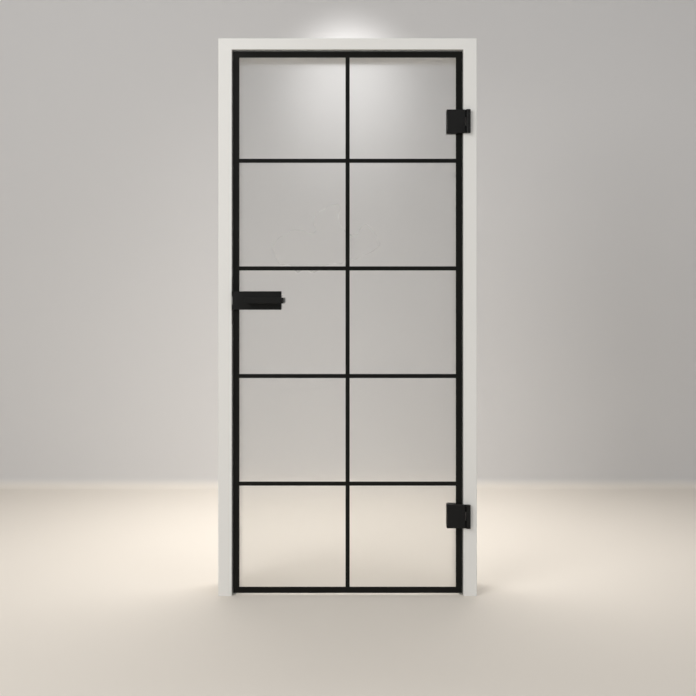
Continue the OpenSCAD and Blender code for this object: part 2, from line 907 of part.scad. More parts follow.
module hinge_clamp_screws() {
  y1 = glass_back + gasket_t + hinge_counter_t;
  color(STEEL) placed() for (zc = hinge_zs, z = hinge_screw_zs) {
    clamp_screw(hinge_screw_x, zc + z, hinge_body_y + hinge_tap_skin + end_gap, y1);
  }
}

// Lock

// Case, open towards the glass, with bosses for the clamp screws and a post for the spring
module lock_case() {
  color(BLACK) placed() translate([0, 0, lock_z]) difference() {
    union() {
      difference() {
        block([lock_x0, case_front, -lock_h / 2], [lock_x1, plate_rear_y, lock_h / 2]);
        block([pocket_x0, case_front + case_wall, -pocket_z],
          [pocket_x1, plate_rear_y + over, pocket_z]);
      }
      for (p = lock_screws) {
        bar_y(boss_r, p.x, p.y, case_front + case_wall - sink, back_plate_y);
      }
      block([spring_post_x, case_front + case_wall - sink, -spring_post_h],
        [spring_post_x + spring_post_t, back_plate_y, spring_post_h]);
      block([rail_x0, case_front + case_wall - sink, rail_z0],
        [bar_x1, latch_y0 - slide_gap, pocket_z + sink]);
    }
    bar_y(journal_r + run_gap, spindle_x, 0, case_front - over, case_front + case_wall + over);
    for (p = lock_screws) {
      bar_y(screw_r + thread_gap, p.x, p.y, case_front + case_wall, plate_rear_y);
    }
    block([lock_x0 - over, latch_y0 - window_gap, -latch_half - window_gap],
      [pocket_x0 + over, latch_y1 + window_gap, latch_half + window_gap]);
  }
}

module lock_cover() {
  color(BLACK) placed() difference() {
    upright(case_front - cover_t, case_front)
      round_rect([lock_x0, lock_z - lock_h / 2], [lock_x1, lock_z + lock_h / 2], plate_corner_r);
    bar_y(neck_r + neck_hole_gap, spindle_x, lock_z, case_front - cover_t - over, case_front + over);
  }
}

module lock_back_plate() {
  color(STEEL) placed() difference() {
    block([pocket_x0 + seat_gap, back_plate_y, lock_z - pocket_z + seat_gap],
      [pocket_x1 - seat_gap, plate_rear_y, lock_z + pocket_z - seat_gap]);
    bar_y(journal_r + run_gap, spindle_x, lock_z, back_plate_y - over, plate_rear_y + over);
    for (p = lock_screws) {
      bar_y(screw_hole_r, p.x, lock_z + p.y, back_plate_y - over, plate_rear_y + over);
    }
  }
}

module lock_counter_plate() {
  inset = lock_shell_wall + seat_gap;
  y0 = glass_back + gasket_t;
  y1 = y0 + lock_plate_t;
  color(STEEL) placed() difference() {
    block([lock_rear_x0 + inset, y0, lock_z - lock_h / 2 + inset],
      [lock_x1 - inset, y1, lock_z + lock_h / 2 - inset]);
    bar_y(neck_r + run_gap, spindle_x, lock_z, y0 - over, y1 + over);
    for (p = lock_screws) {
      clamp_hole(p.x, lock_z + p.y, y0, y1);
    }
  }
}

module lock_rear_cover() {
  y0 = glass_back + gasket_t;
  y1 = y0 + lock_shell_t;
  color(BLACK) placed() difference() {
    upright(y0, y1)
      round_rect([lock_rear_x0, lock_z - lock_h / 2], [lock_x1, lock_z + lock_h / 2], plate_corner_r);
    block([lock_rear_x0 + lock_shell_wall, y0 - over, lock_z - lock_h / 2 + lock_shell_wall],
      [lock_x1 - lock_shell_wall, y1 - lock_shell_wall, lock_z + lock_h / 2 - lock_shell_wall]);
    bar_y(neck_r + neck_hole_gap, spindle_x, lock_z, y0, y1 + over);
  }
}

module lock_gaskets() {
  half = lock_h / 2 - gasket_inset;
  color(GASKET) placed() difference() {
    union() {
      block([lock_x0 + gasket_inset, plate_rear_y, lock_z - half],
        [lock_x1 - gasket_inset, glass_front, lock_z + half]);
      block([lock_rear_x0 + gasket_inset, glass_back, lock_z - half],
        [lock_x1 - gasket_inset, glass_back + gasket_t, lock_z + half]);
    }
    bar_y(spindle_hole_r, spindle_x, lock_z, plate_rear_y - over, glass_back + gasket_t + over);
    for (p = lock_screws) {
      bar_y(glass_hole_r, p.x, lock_z + p.y, plate_rear_y - over, glass_back + gasket_t + over);
    }
  }
}

module lock_sleeves() {
  color(NYLON) placed() for (p = lock_screws) {
    sleeve(p.x, lock_z + p.y);
  }
}

module lock_clamp_screws() {
  y1 = glass_back + gasket_t + lock_plate_t;
  color(STEEL) placed() for (p = lock_screws) {
    clamp_screw(p.x, lock_z + p.y, case_front + case_wall + end_gap, y1);
  }
}

// Bevelled head, and a bar above the follower with a notch for its arm
module latch_bolt() {
  color(STEEL) placed() translate([0, 0, lock_z]) difference() {
    union() {
      translate([0, 0, -latch_half]) linear_extrude(2 * latch_half) polygon([
        [latch_tip_x, latch_y0],
        [latch_tip_x, latch_y0 + latch_tip_t],
        [latch_tip_x + bevel_len, latch_y1],
        [riser_x1, latch_y1],
        [riser_x1, latch_y0]
      ]);
      block([riser_x0, latch_y0, -latch_half], [riser_x1, latch_y1, latch_top]);
      block([riser_x0, latch_y0, bar_z0], [bar_x1, latch_y1, latch_top]);
    }
    block([spindle_x - notch_half, latch_y0 - over, bar_z0 - over],
      [spindle_x + notch_half, latch_y1 + over, notch_top]);
  }
}

// Points of the coil: ring i of the wire, side k
function coil_point(i, k) =
  let (
    turn = 360 * i / spring_steps,
    around = 360 * k / spring_sides,
    r = spring_r - spring_wire / 2 + cos(around) * spring_wire / 2,
    rise = (spring_x1 - spring_x0 - spring_wire) * i / (spring_steps * spring_turns)
  )
  [spring_x0 + spring_wire / 2 + rise + sin(around) * spring_wire / 2, r * cos(turn), r * sin(turn)];

module latch_spring() {
  rings = spring_steps * spring_turns;
  last = rings * spring_sides;
  points = [for (i = [0:rings], k = [0:spring_sides - 1]) coil_point(i, k)];
  walls = [
    for (i = [0:rings - 1], k = [0:spring_sides - 1])
      let (a = i * spring_sides + k, b = i * spring_sides + (k + 1) % spring_sides)
      [a, b, b + spring_sides, a + spring_sides]
  ];
  start = [for (k = [spring_sides - 1:-1:0]) k];
  end = [for (k = [0:spring_sides - 1]) last + k];
  color(STEEL) placed() translate([0, spring_y, lock_z])
    polyhedron(points, concat(walls, [start, end]));
}

// Square hole for the spindle, along Y
module spindle_bore(y0, y1) {
  half = spindle_s / 2 + spindle_gap;
  block([spindle_x - half, y0, lock_z - half], [spindle_x + half, y1, lock_z + half]);
}

module follower() {
  color(STEEL) placed() difference() {
    union() {
      bar_y(journal_r, spindle_x, lock_z, case_front, plate_rear_y);
      bar_y(hub_r, spindle_x, lock_z, hub_y0, latch_y1);
      block([spindle_x - arm_stem_t / 2, latch_y0, lock_z],
        [spindle_x + arm_stem_t / 2, latch_y1, lock_z + arm_r]);
      bar_y(arm_tip_r, spindle_x, lock_z + arm_r, latch_y0, latch_y1);
    }
    spindle_bore(case_front - over, plate_rear_y + over);
  }
}

module spindle() {
  half = spindle_s / 2;
  color(STEEL) placed()
    block([spindle_x - half, spindle_y0, lock_z - half], [spindle_x + half, spindle_y1, lock_z + half]);
}

// Bar of a lever between two depths
module lever_bar(y0, y1) {
  upright(y0, y1)
    round_rect([spindle_x - lever_heel, lock_z - lever_h / 2],
      [spindle_x + lever_len, lock_z + lever_h / 2], lever_corner_r);
}

module grub_hole(y) {
  bar_z(grub_r + thread_gap, spindle_x, y, lock_z - neck_r - over, lock_z);
}

module lever_front() {
  color(BLACK) placed() difference() {
    union() {
      lever_bar(lever_front_y, neck_front_inner);
      bar_y(neck_r, spindle_x, lock_z, neck_front_inner - over, neck_front_y);
    }
    spindle_bore(spindle_y0 - slide_gap, neck_front_y + over);
    grub_hole(grub_front_y);
  }
}

module lever_rear() {
  color(BLACK) placed() difference() {
    union() {
      lever_bar(neck_rear_inner, lever_rear_y);
      bar_y(neck_r, spindle_x, lock_z, neck_rear_y, neck_rear_inner + over);
    }
    spindle_bore(neck_rear_y - over, spindle_y1 + slide_gap);
    grub_hole(grub_rear_y);
  }
}

module lever_grub_screws() {
  color(STEEL) placed() for (y = [grub_front_y, grub_rear_y]) {
    bar_z(grub_r, spindle_x, y, lock_z - neck_r + grub_depth, lock_z - spindle_s / 2);
  }
}

lining_hinge_side();
lining_latch_side();
lining_head();
casing_front_hinge_side();
casing_front_latch_side();
casing_front_head();
casing_rear_hinge_side();
casing_rear_latch_side();
casing_rear_head();
seal_hinge_side();
seal_latch_side();
seal_head();
corner_dowels();
corner_cams();
corner_bolts();
strike_plate();
strike_screws();
hinge_receiver_upper();
hinge_receiver_lower();
receiver_screws();
hinge_frame_part_upper();
hinge_frame_part_lower();
hinge_pins();
glass_pane();
printed_bars();
hinge_plate_upper();
hinge_plate_lower();
hinge_cover_upper();
hinge_cover_lower();
hinge_counter_plate_upper();
hinge_counter_plate_lower();
hinge_rear_cover_upper();
hinge_rear_cover_lower();
hinge_gaskets();
hinge_sleeves();
hinge_bushes();
hinge_end_caps();
hinge_clamp_screws();
lock_case();
lock_cover();
lock_back_plate();
lock_counter_plate();
lock_rear_cover();
lock_gaskets();
lock_sleeves();
lock_clamp_screws();
latch_bolt();
latch_spring();
follower();
spindle();
lever_front();
lever_rear();
lever_grub_screws();
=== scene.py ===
"""Looks of an all-glass swing door with printed bars, in its white wrap-around frame.

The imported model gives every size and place. Each sub-assembly below builds the meshes that its
pieces need, dresses them in their finishes and puts them on the bodies that carry them. Lengths
are in metres: X runs across the opening with the hinges at +X, Y runs through the wall and Z up.
"""

import json
import logging
import math
from dataclasses import dataclass, field
from enum import Enum
from typing import Callable, Sequence

import bmesh
import bpy
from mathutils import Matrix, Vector


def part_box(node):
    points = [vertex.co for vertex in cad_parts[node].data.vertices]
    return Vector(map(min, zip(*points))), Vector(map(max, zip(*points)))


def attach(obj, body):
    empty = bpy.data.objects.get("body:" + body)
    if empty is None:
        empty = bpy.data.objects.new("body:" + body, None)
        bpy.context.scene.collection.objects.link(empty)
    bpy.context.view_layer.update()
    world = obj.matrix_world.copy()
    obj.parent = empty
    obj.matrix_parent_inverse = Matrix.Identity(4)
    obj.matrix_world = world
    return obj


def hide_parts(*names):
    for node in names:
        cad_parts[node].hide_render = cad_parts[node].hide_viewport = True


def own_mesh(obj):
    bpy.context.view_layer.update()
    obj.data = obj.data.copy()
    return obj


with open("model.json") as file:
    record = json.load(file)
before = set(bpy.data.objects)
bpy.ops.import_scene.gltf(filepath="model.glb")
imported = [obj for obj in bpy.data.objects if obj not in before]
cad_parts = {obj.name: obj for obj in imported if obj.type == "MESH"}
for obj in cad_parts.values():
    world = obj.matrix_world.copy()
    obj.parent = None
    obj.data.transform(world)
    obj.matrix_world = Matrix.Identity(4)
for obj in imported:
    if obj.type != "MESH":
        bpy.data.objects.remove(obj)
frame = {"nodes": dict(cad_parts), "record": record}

MM = 0.001
WELD = 0.001 * MM
SHARP_FROM = 50.0
Color = tuple[float, float, float]
Place = tuple[float, float, float]
Box = tuple[Vector, Vector]
Socket = bpy.types.NodeSocket
DUST_COLOR = (0.42, 0.40, 0.37, 1)
log = logging.getLogger("door")


# ---------------------------------------------------------------------------------------------
# Shader nodes
# ---------------------------------------------------------------------------------------------


class Effect(Enum):
    """Effects that several finishes share, each one a shader node group."""

    PATCHES = "SurfacePatches"
    GRAIN = "FineGrain"
    EDGES = "WornEdgesAndHighlight"
    DUST = "SettledDust"
    LINES = "BrushedLines"


class Sheet:
    """A node tree that is filled in from left to right."""

    def __init__(self, tree: bpy.types.NodeTree) -> None:
        """Starts on an empty tree.

        Args:
            tree: The node tree of a material, a world or a group.
        """
        self.tree = tree
        tree.nodes.clear()

    def add(self, kind: str, inputs: dict | None = None, **settings: object) -> bpy.types.Node:
        """Adds a node.

        Args:
            kind: The node's type, without its "ShaderNode" prefix.
            inputs: Values or sockets for the node's inputs, by name or by number.
            **settings: Properties of the node itself.

        Returns:
            The new node.
        """
        node = self.tree.nodes.new("ShaderNode" + kind)
        for name, value in settings.items():
            setattr(node, name, value)
        for key, value in (inputs or {}).items():
            self.feed(node.inputs[key], value)
        return node

    def feed(self, target: Socket, value: object) -> None:
        """Links a socket to an input, or sets the input to a plain value."""
        if isinstance(value, bpy.types.NodeSocket):
            self.tree.links.new(value, target)
        else:
            target.default_value = value

    def math(self, operation: str, first: object, second: object = 0.0, clamp: bool = False) -> Socket:
        """Adds a Math node and returns its output."""
        return self.add("Math", {0: first, 1: second}, operation=operation, use_clamp=clamp).outputs[0]

    def blend(self, share: object, first: object, second: object) -> Socket:
        """Mixes two colours by a share and returns the result."""
        inputs = {0: share, 6: first, 7: second}
        return self.add("Mix", inputs, data_type="RGBA").outputs[2]

    def spread(self, value: object, low: object, high: object) -> Socket:
        """Maps a value from 0..1 to low..high and returns the result."""
        inputs = {"Value": value, "To Min": low, "To Max": high}
        return self.add("MapRange", inputs).outputs["Result"]

    def noise(self, vector: Socket, scale: object, detail: float = 2.0) -> Socket:
        """Adds a noise texture and returns its value."""
        inputs = {"Vector": vector, "Scale": scale, "Detail": detail}
        return self.add("TexNoise", inputs).outputs[0]

    def effect(self, effect: Effect, inputs: dict) -> Socket:
        """Places a shared effect with its own values and returns its one output."""
        node = self.add("Group")
        node.node_tree = bpy.data.node_groups[effect.value]
        for key, value in inputs.items():
            self.feed(node.inputs[key], value)
        return node.outputs[0]

    def place(self) -> Socket:
        """Returns the piece's own coordinates, which move with it."""
        return self.add("TexCoord").outputs["Object"]


@dataclass(frozen=True)
class EffectLibrary:
    """Builds each shared effect once, as a shader node group."""

    edge_gain: float = 4.0
    edge_break_scale: float = 260.0
    dust_scale: float = 55.0
    fine_grain: float = 2.3
    pebble_share: float = 0.6

    def build(self) -> None:
        """Builds every group."""
        point = ("NodeSocketVector", (0.0, 0.0, 0.0))
        number = "NodeSocketFloat"
        self.group(Effect.PATCHES, {"Vector": point, "Scale": (number, 3.0)}, self.patches)
        self.group(Effect.GRAIN, {"Vector": point, "Scale": (number, 900.0)}, self.grain)
        edges = {"Vector": point, "Width": (number, 0.5 * MM), "Amount": (number, 0.5)}
        self.group(Effect.EDGES, edges, self.edges)
        self.group(Effect.DUST, {"Vector": point, "Amount": (number, 0.1)}, self.dust)
        lines = {"Vector": point, "Stretch": ("NodeSocketVector", (1.0, 1.0, 1.0))}
        self.group(Effect.LINES, lines, self.lines)

    def group(self, effect: Effect, inputs: dict, fill: Callable) -> None:
        """Makes one group.

        Args:
            effect: Which effect it is.
            inputs: Socket type and default value of each input, by name.
            fill: Method that draws the group's nodes and returns the output's source.
        """
        tree = bpy.data.node_groups.new(effect.value, "ShaderNodeTree")
        for name, (kind, default) in inputs.items():
            socket = tree.interface.new_socket(name=name, in_out="INPUT", socket_type=kind)
            socket.default_value = default
        tree.interface.new_socket(name="Value", in_out="OUTPUT", socket_type="NodeSocketFloat")
        sheet = Sheet(tree)
        source = sheet.tree.nodes.new("NodeGroupInput")
        result = fill(sheet, source.outputs)
        sheet.feed(sheet.tree.nodes.new("NodeGroupOutput").inputs[0], result)

    def patches(self, sheet: Sheet, given: bpy.types.bpy_prop_collection) -> Socket:
        """Broad soft patches, 0 to 1."""
        cloud = sheet.noise(given["Vector"], given["Scale"], 4.0)
        inputs = {"Value": cloud, "From Min": 0.3, "From Max": 0.7}
        return sheet.add("MapRange", inputs, interpolation_type="SMOOTHSTEP").outputs["Result"]

    def grain(self, sheet: Sheet, given: bpy.types.bpy_prop_collection) -> Socket:
        """Small round pebbles with a finer grain on them, as a height of 0 to 1."""
        scale = sheet.math("MULTIPLY", given["Scale"], self.fine_grain)
        fine = sheet.noise(given["Vector"], scale, 1.0)
        inputs = {"Vector": given["Vector"], "Scale": given["Scale"], "Smoothness": 0.6}
        pebble = sheet.add("TexVoronoi", inputs, feature="SMOOTH_F1").outputs["Distance"]
        fine = sheet.math("MULTIPLY", fine, 1 - self.pebble_share)
        return sheet.math("ADD", fine, sheet.math("MULTIPLY", pebble, self.pebble_share))

    def edges(self, sheet: Sheet, given: bpy.types.bpy_prop_collection) -> Socket:
        """A broken line along the sharp edges, 0 to 1: partly wear where hands and cloths rub, partly a
        painted highlight that lights the edges.
        """
        rounded = sheet.add("Bevel", {"Radius": given["Width"]}, samples=4).outputs[0]
        flat = sheet.add("NewGeometry").outputs["Normal"]
        dot = sheet.add("VectorMath", {0: rounded, 1: flat}, operation="DOT_PRODUCT")
        cosine = dot.outputs["Value"]
        opened = sheet.math("SUBTRACT", 1.0, cosine)
        turned = sheet.math("MULTIPLY", opened, self.edge_gain, clamp=True)
        broken = sheet.spread(sheet.noise(given["Vector"], self.edge_break_scale, 3.0), 0.2, 1.0)
        wear_and_highlight = sheet.math("MULTIPLY", turned, broken)
        return sheet.math("MULTIPLY", wear_and_highlight, given["Amount"], clamp=True)

    def dust(self, sheet: Sheet, given: bpy.types.bpy_prop_collection) -> Socket:
        """A thin uneven film on what faces up, 0 to 1."""
        normal = sheet.add("NewGeometry").outputs["True Normal"]
        up = sheet.add("SeparateXYZ", {0: normal}).outputs["Z"]
        ranges = {"Value": up, "From Min": 0.5, "From Max": 0.95}
        level = sheet.add("MapRange", ranges).outputs["Result"]
        uneven = sheet.spread(sheet.noise(given["Vector"], self.dust_scale, 5.0), 0.4, 1.0)
        return sheet.math("MULTIPLY", sheet.math("MULTIPLY", level, uneven), given["Amount"])

    def lines(self, sheet: Sheet, given: bpy.types.bpy_prop_collection) -> Socket:
        """Fine parallel lines, stretched along one direction, 0 to 1."""
        inputs = {0: given["Vector"], 1: given["Stretch"]}
        squeezed = sheet.add("VectorMath", inputs, operation="MULTIPLY").outputs["Vector"]
        return sheet.noise(squeezed, 1.0, 5.0)


# ---------------------------------------------------------------------------------------------
# Finishes
# ---------------------------------------------------------------------------------------------


@dataclass(frozen=True)
class Finish:
    """A painted, moulded or printed surface, and the base of the other finishes."""

    slot: str
    color: Color
    second_color: Color
    roughness: tuple[float, float]
    patch_scale: float = 3.0
    grain_scale: float = 900.0
    grain_depth: float = 0.01 * MM
    specular: float = 0.5
    edge_color: Color = (0.5, 0.5, 0.5)
    edge_width: float = 0.5 * MM
    edge_amount: float = 0.0
    dust: float = 0.0

    def build(self) -> bpy.types.Material:
        """Makes the material.

        Returns:
            A material named after its slot.
        """
        material = bpy.data.materials.new("look_" + self.slot)
        material.use_nodes = True
        sheet = Sheet(material.node_tree)
        shader = sheet.add("BsdfPrincipled")
        sheet.feed(sheet.add("OutputMaterial").inputs["Surface"], shader.outputs[0])
        shader.inputs["Specular IOR Level"].default_value = self.specular
        self.paint(sheet, shader, sheet.place())
        return material

    def paint(self, sheet: Sheet, shader: bpy.types.Node, place: Socket) -> None:
        """Draws the nodes that feed the shader.

        Args:
            sheet: The material's tree.
            shader: Its Principled BSDF.
            place: The piece's own coordinates.
        """
        patches = sheet.effect(Effect.PATCHES, {"Vector": place, "Scale": self.patch_scale})
        color = sheet.blend(patches, (*self.color, 1), (*self.second_color, 1))
        roughness = sheet.spread(patches, *self.roughness)
        # Lighter edge_color along the sharp edges: partly rubbed wear, partly a painted highlight.
        if self.edge_amount:
            inputs = {"Vector": place, "Width": self.edge_width, "Amount": self.edge_amount}
            color = sheet.blend(sheet.effect(Effect.EDGES, inputs), color, (*self.edge_color, 1))
        if self.dust:
            film = sheet.effect(Effect.DUST, {"Vector": place, "Amount": self.dust})
            color = sheet.blend(film, color, DUST_COLOR)
            roughness = sheet.math("ADD", roughness, sheet.math("MULTIPLY", film, 0.5), clamp=True)
        sheet.feed(shader.inputs["Base Color"], color)
        sheet.feed(shader.inputs["Roughness"], roughness)
        self.emboss(sheet, shader, self.height(sheet, place), self.grain_depth)

    def height(self, sheet: Sheet, place: Socket) -> Socket:
        """Returns the surface's fine relief, 0 to 1."""
        return sheet.effect(Effect.GRAIN, {"Vector": place, "Scale": self.grain_scale})

    def emboss(self, sheet: Sheet, shader: bpy.types.Node, height: Socket, depth: float) -> None:
        """Feeds a height map to the shader's normal through a Bump node."""
        bump = sheet.add("Bump", {"Height": height, "Distance": depth, "Strength": 1.0})
        sheet.feed(shader.inputs["Normal"], bump.outputs[0])


@dataclass(frozen=True)
class SteelFinish(Finish):
    """Plated steel with fine lines from rolling or brushing."""

    stretch: Place = (40.0, 2500.0, 2500.0)

    def paint(self, sheet: Sheet, shader: bpy.types.Node, place: Socket) -> None:
        """Draws the nodes: patches of plating over brushed lines."""
        shader.inputs["Metallic"].default_value = 1.0
        lines = sheet.effect(Effect.LINES, {"Vector": place, "Stretch": self.stretch})
        patches = sheet.effect(Effect.PATCHES, {"Vector": place, "Scale": self.patch_scale})
        share = sheet.math("MULTIPLY", sheet.math("ADD", lines, patches), 0.5)
        color = sheet.blend(share, (*self.color, 1), (*self.second_color, 1))
        # Lighter edge_color along the sharp edges: partly wear, partly a painted highlight.
        inputs = {"Vector": place, "Width": self.edge_width, "Amount": self.edge_amount}
        color = sheet.blend(sheet.effect(Effect.EDGES, inputs), color, (*self.edge_color, 1))
        sheet.feed(shader.inputs["Base Color"], color)
        sheet.feed(shader.inputs["Roughness"], sheet.spread(share, *self.roughness))
        self.emboss(sheet, shader, lines, self.grain_depth)


@dataclass(frozen=True)
class WoodFinish(Finish):
    """Bare wood with its grain along Z."""

    fibre: Place = (220.0, 220.0, 9.0)

    def paint(self, sheet: Sheet, shader: bpy.types.Node, place: Socket) -> None:
        """Draws the nodes: growth rings, fibres and short flecks."""
        fibres = sheet.effect(Effect.LINES, {"Vector": place, "Stretch": self.fibre})
        rings = sheet.add("TexWave", {"Vector": place, "Scale": 60.0, "Distortion": 3.0}).outputs[1]
        share = sheet.math("MULTIPLY", sheet.math("ADD", fibres, rings), 0.5)
        color = sheet.blend(share, (*self.color, 1), (*self.second_color, 1))
        sheet.feed(shader.inputs["Base Color"], color)
        sheet.feed(shader.inputs["Roughness"], sheet.spread(fibres, *self.roughness))
        self.emboss(sheet, shader, fibres, self.grain_depth)


class GlassFace(Enum):
    """The three kinds of surface on the pane."""

    CLEAR = "clear"
    ETCHED = "etched"
    GROUND = "ground"


@dataclass(frozen=True)
class GlassFinish(Finish):
    """Toughened glass: one kind of surface of the pane."""

    face: GlassFace = GlassFace.CLEAR
    transmission: float = 1.0
    ior: float = 1.52

    def paint(self, sheet: Sheet, shader: bpy.types.Node, place: Socket) -> None:
        """Draws the nodes: the tint on the shader itself, and the face's own unevenness."""
        shader.inputs["Base Color"].default_value = (*self.color, 1)
        shader.inputs["Transmission Weight"].default_value = self.transmission
        shader.inputs["IOR"].default_value = self.ior
        patches = sheet.effect(Effect.PATCHES, {"Vector": place, "Scale": self.patch_scale})
        film = sheet.effect(Effect.DUST, {"Vector": place, "Amount": self.dust})
        roughness = sheet.math("ADD", sheet.spread(patches, *self.roughness), film, clamp=True)
        sheet.feed(shader.inputs["Roughness"], roughness)
        self.emboss(sheet, shader, self.height(sheet, place), self.grain_depth)


class FinishBook:
    """All the finishes of the door, made once and found by slot."""

    def __init__(self) -> None:
        """Builds every material."""
        tint = (0.800, 0.803, 0.800)
        self.finishes = [
            Finish(
                "white_lacquer", (0.800, 0.794, 0.770), (0.788, 0.781, 0.756), (0.36, 0.48),
                patch_scale=2.2, grain_scale=420.0, grain_depth=0.012 * MM, specular=0.45,
                dust=0.16,
            ),
            # The lighter edge colours in these finishes paint a highlight along the edges, besides
            # wear.
            Finish(
                "black_powder_coat", (0.0072, 0.0072, 0.0070), (0.0095, 0.0095, 0.0095), (0.44, 0.58),
                patch_scale=14.0, grain_scale=1100.0, grain_depth=0.05 * MM, specular=0.17,
                edge_color=(0.055, 0.055, 0.055), edge_width=0.5 * MM, edge_amount=0.7, dust=0.06,
            ),
            Finish(
                "black_enamel", (0.0060, 0.0062, 0.0050), (0.0078, 0.0080, 0.0068), (0.30, 0.40),
                patch_scale=5.0, grain_scale=700.0, grain_depth=0.004 * MM, specular=0.13,
            ),
            Finish(
                "seal_rubber", (0.56, 0.555, 0.54), (0.50, 0.495, 0.48), (0.60, 0.75),
                patch_scale=6.0, grain_scale=1300.0, grain_depth=0.02 * MM, specular=0.35,
                edge_color=(0.62, 0.62, 0.60), edge_width=0.4 * MM, edge_amount=0.3, dust=0.1,
            ),
            Finish(
                "clear_gasket", (0.52, 0.52, 0.49), (0.60, 0.60, 0.57), (0.35, 0.5),
                patch_scale=20.0, grain_scale=1100.0, grain_depth=0.01 * MM, specular=0.4,
            ),
            Finish(
                "black_nylon", (0.013, 0.013, 0.013), (0.018, 0.018, 0.018), (0.38, 0.52),
                patch_scale=25.0, grain_scale=1200.0, grain_depth=0.01 * MM, specular=0.25,
                edge_color=(0.05, 0.05, 0.05), edge_width=0.3 * MM, edge_amount=0.4,
            ),
            SteelFinish(
                "zinc_steel", (0.56, 0.575, 0.60), (0.66, 0.67, 0.68), (0.28, 0.44),
                patch_scale=70.0, grain_depth=0.006 * MM, edge_color=(0.78, 0.79, 0.80),
                edge_width=0.3 * MM, edge_amount=0.6, stretch=(500.0, 500.0, 900.0),
            ),
            SteelFinish(
                "satin_steel", (0.52, 0.515, 0.50), (0.62, 0.61, 0.59), (0.24, 0.36),
                patch_scale=18.0, grain_depth=0.008 * MM, edge_color=(0.80, 0.80, 0.79),
                edge_width=0.3 * MM, edge_amount=0.6, stretch=(2600.0, 2600.0, 35.0),
            ),
            WoodFinish(
                "beech", (0.60, 0.41, 0.24), (0.45, 0.28, 0.15), (0.55, 0.7),
                grain_depth=0.05 * MM, specular=0.3,
            ),
            GlassFinish(
                "satin_glass", tint, tint, (0.04, 0.07), patch_scale=1.1, grain_scale=6.0,
                grain_depth=0.02 * MM, dust=0.2, face=GlassFace.CLEAR,
            ),
            GlassFinish(
                "satin_glass", tint, tint, (0.27, 0.31), patch_scale=1.1, grain_scale=900.0,
                grain_depth=0.001 * MM, dust=0.2, face=GlassFace.ETCHED,
            ),
            GlassFinish(
                "satin_glass", (0.42, 0.66, 0.58), (0.42, 0.66, 0.58), (0.12, 0.22),
                patch_scale=40.0, grain_scale=500.0, grain_depth=0.01 * MM, dust=0.2,
                face=GlassFace.GROUND,
            ),
        ]
        self.materials: dict[str, bpy.types.Material] = {}
        self.glass: dict[GlassFace, bpy.types.Material] = {}
        for finish in self.finishes:
            material = finish.build()
            if isinstance(finish, GlassFinish):
                material.name = f"look_glass_{finish.face.value}"
                self.glass[finish.face] = material
            self.materials.setdefault(finish.slot, material)


# ---------------------------------------------------------------------------------------------
# Mesh building
# ---------------------------------------------------------------------------------------------


class Axis(Enum):
    """The direction that an extruded or turned piece runs along."""

    X = 0
    Y = 1
    Z = 2

    def point(self, u: float, v: float, along: float) -> Vector:
        """Puts a point of the cross-section at its place along the axis."""
        if self is Axis.X:
            return Vector((along, u, v))
        if self is Axis.Y:
            return Vector((u, along, v))
        return Vector((u, v, along))

    def split(self, point: Vector) -> tuple[float, float, float]:
        """Gives a point's two places across the axis and the one along it."""
        across = [point[i] for i in range(3) if i != self.value]
        return across[0], across[1], point[self.value]


@dataclass(frozen=True)
class RoundRect:
    """A rectangle with round corners."""

    u0: float
    v0: float
    u1: float
    v1: float
    radius: float
    steps: int = 6

    def loop(self, inset: float = 0.0) -> list[tuple[float, float]]:
        """Returns the outline's points, moved inwards by inset."""
        least = 0.02 * MM
        radius = max(self.radius - inset, least)
        points = []
        for corner in range(4):
            right, top = corner in (0, 3), corner in (0, 1)
            u = self.u1 - inset - radius if right else self.u0 + inset + radius
            v = self.v1 - inset - radius if top else self.v0 + inset + radius
            for step in range(self.steps + 1):
                angle = math.pi / 2 * (corner + step / self.steps)
                points.append((u + radius * math.cos(angle), v + radius * math.sin(angle)))
        return points


@dataclass(frozen=True)
class Disc:
    """A circle, or a regular polygon when it has few steps."""

    u: float
    v: float
    radius: float
    steps: int = 48

    def loop(self, inset: float = 0.0) -> list[tuple[float, float]]:
        """Returns the outline's points, moved inwards by inset."""
        radius = self.radius - inset
        angles = [2 * math.pi * step / self.steps for step in range(self.steps)]
        return [(self.u + radius * math.cos(a), self.v + radius * math.sin(a)) for a in angles]


@dataclass(frozen=True)
class Cross:
    """The outline of a cross recess."""

    u: float
    v: float
    reach: float
    half: float

    def loop(self, inset: float = 0.0) -> list[tuple[float, float]]:
        """Returns the outline's points, moved inwards by inset."""
        reach, half = self.reach - inset, self.half - inset / 2
        arm = [(reach, -half), (reach, half), (half, half)]
        points = []
        for turn in range(4):
            c, s = round(math.cos(turn * math.pi / 2)), round(math.sin(turn * math.pi / 2))
            points += [(self.u + c * a - s * b, self.v + s * a + c * b) for a, b in arm]
        return points


Outline = RoundRect | Disc | Cross
Ring = list[bmesh.types.BMVert]


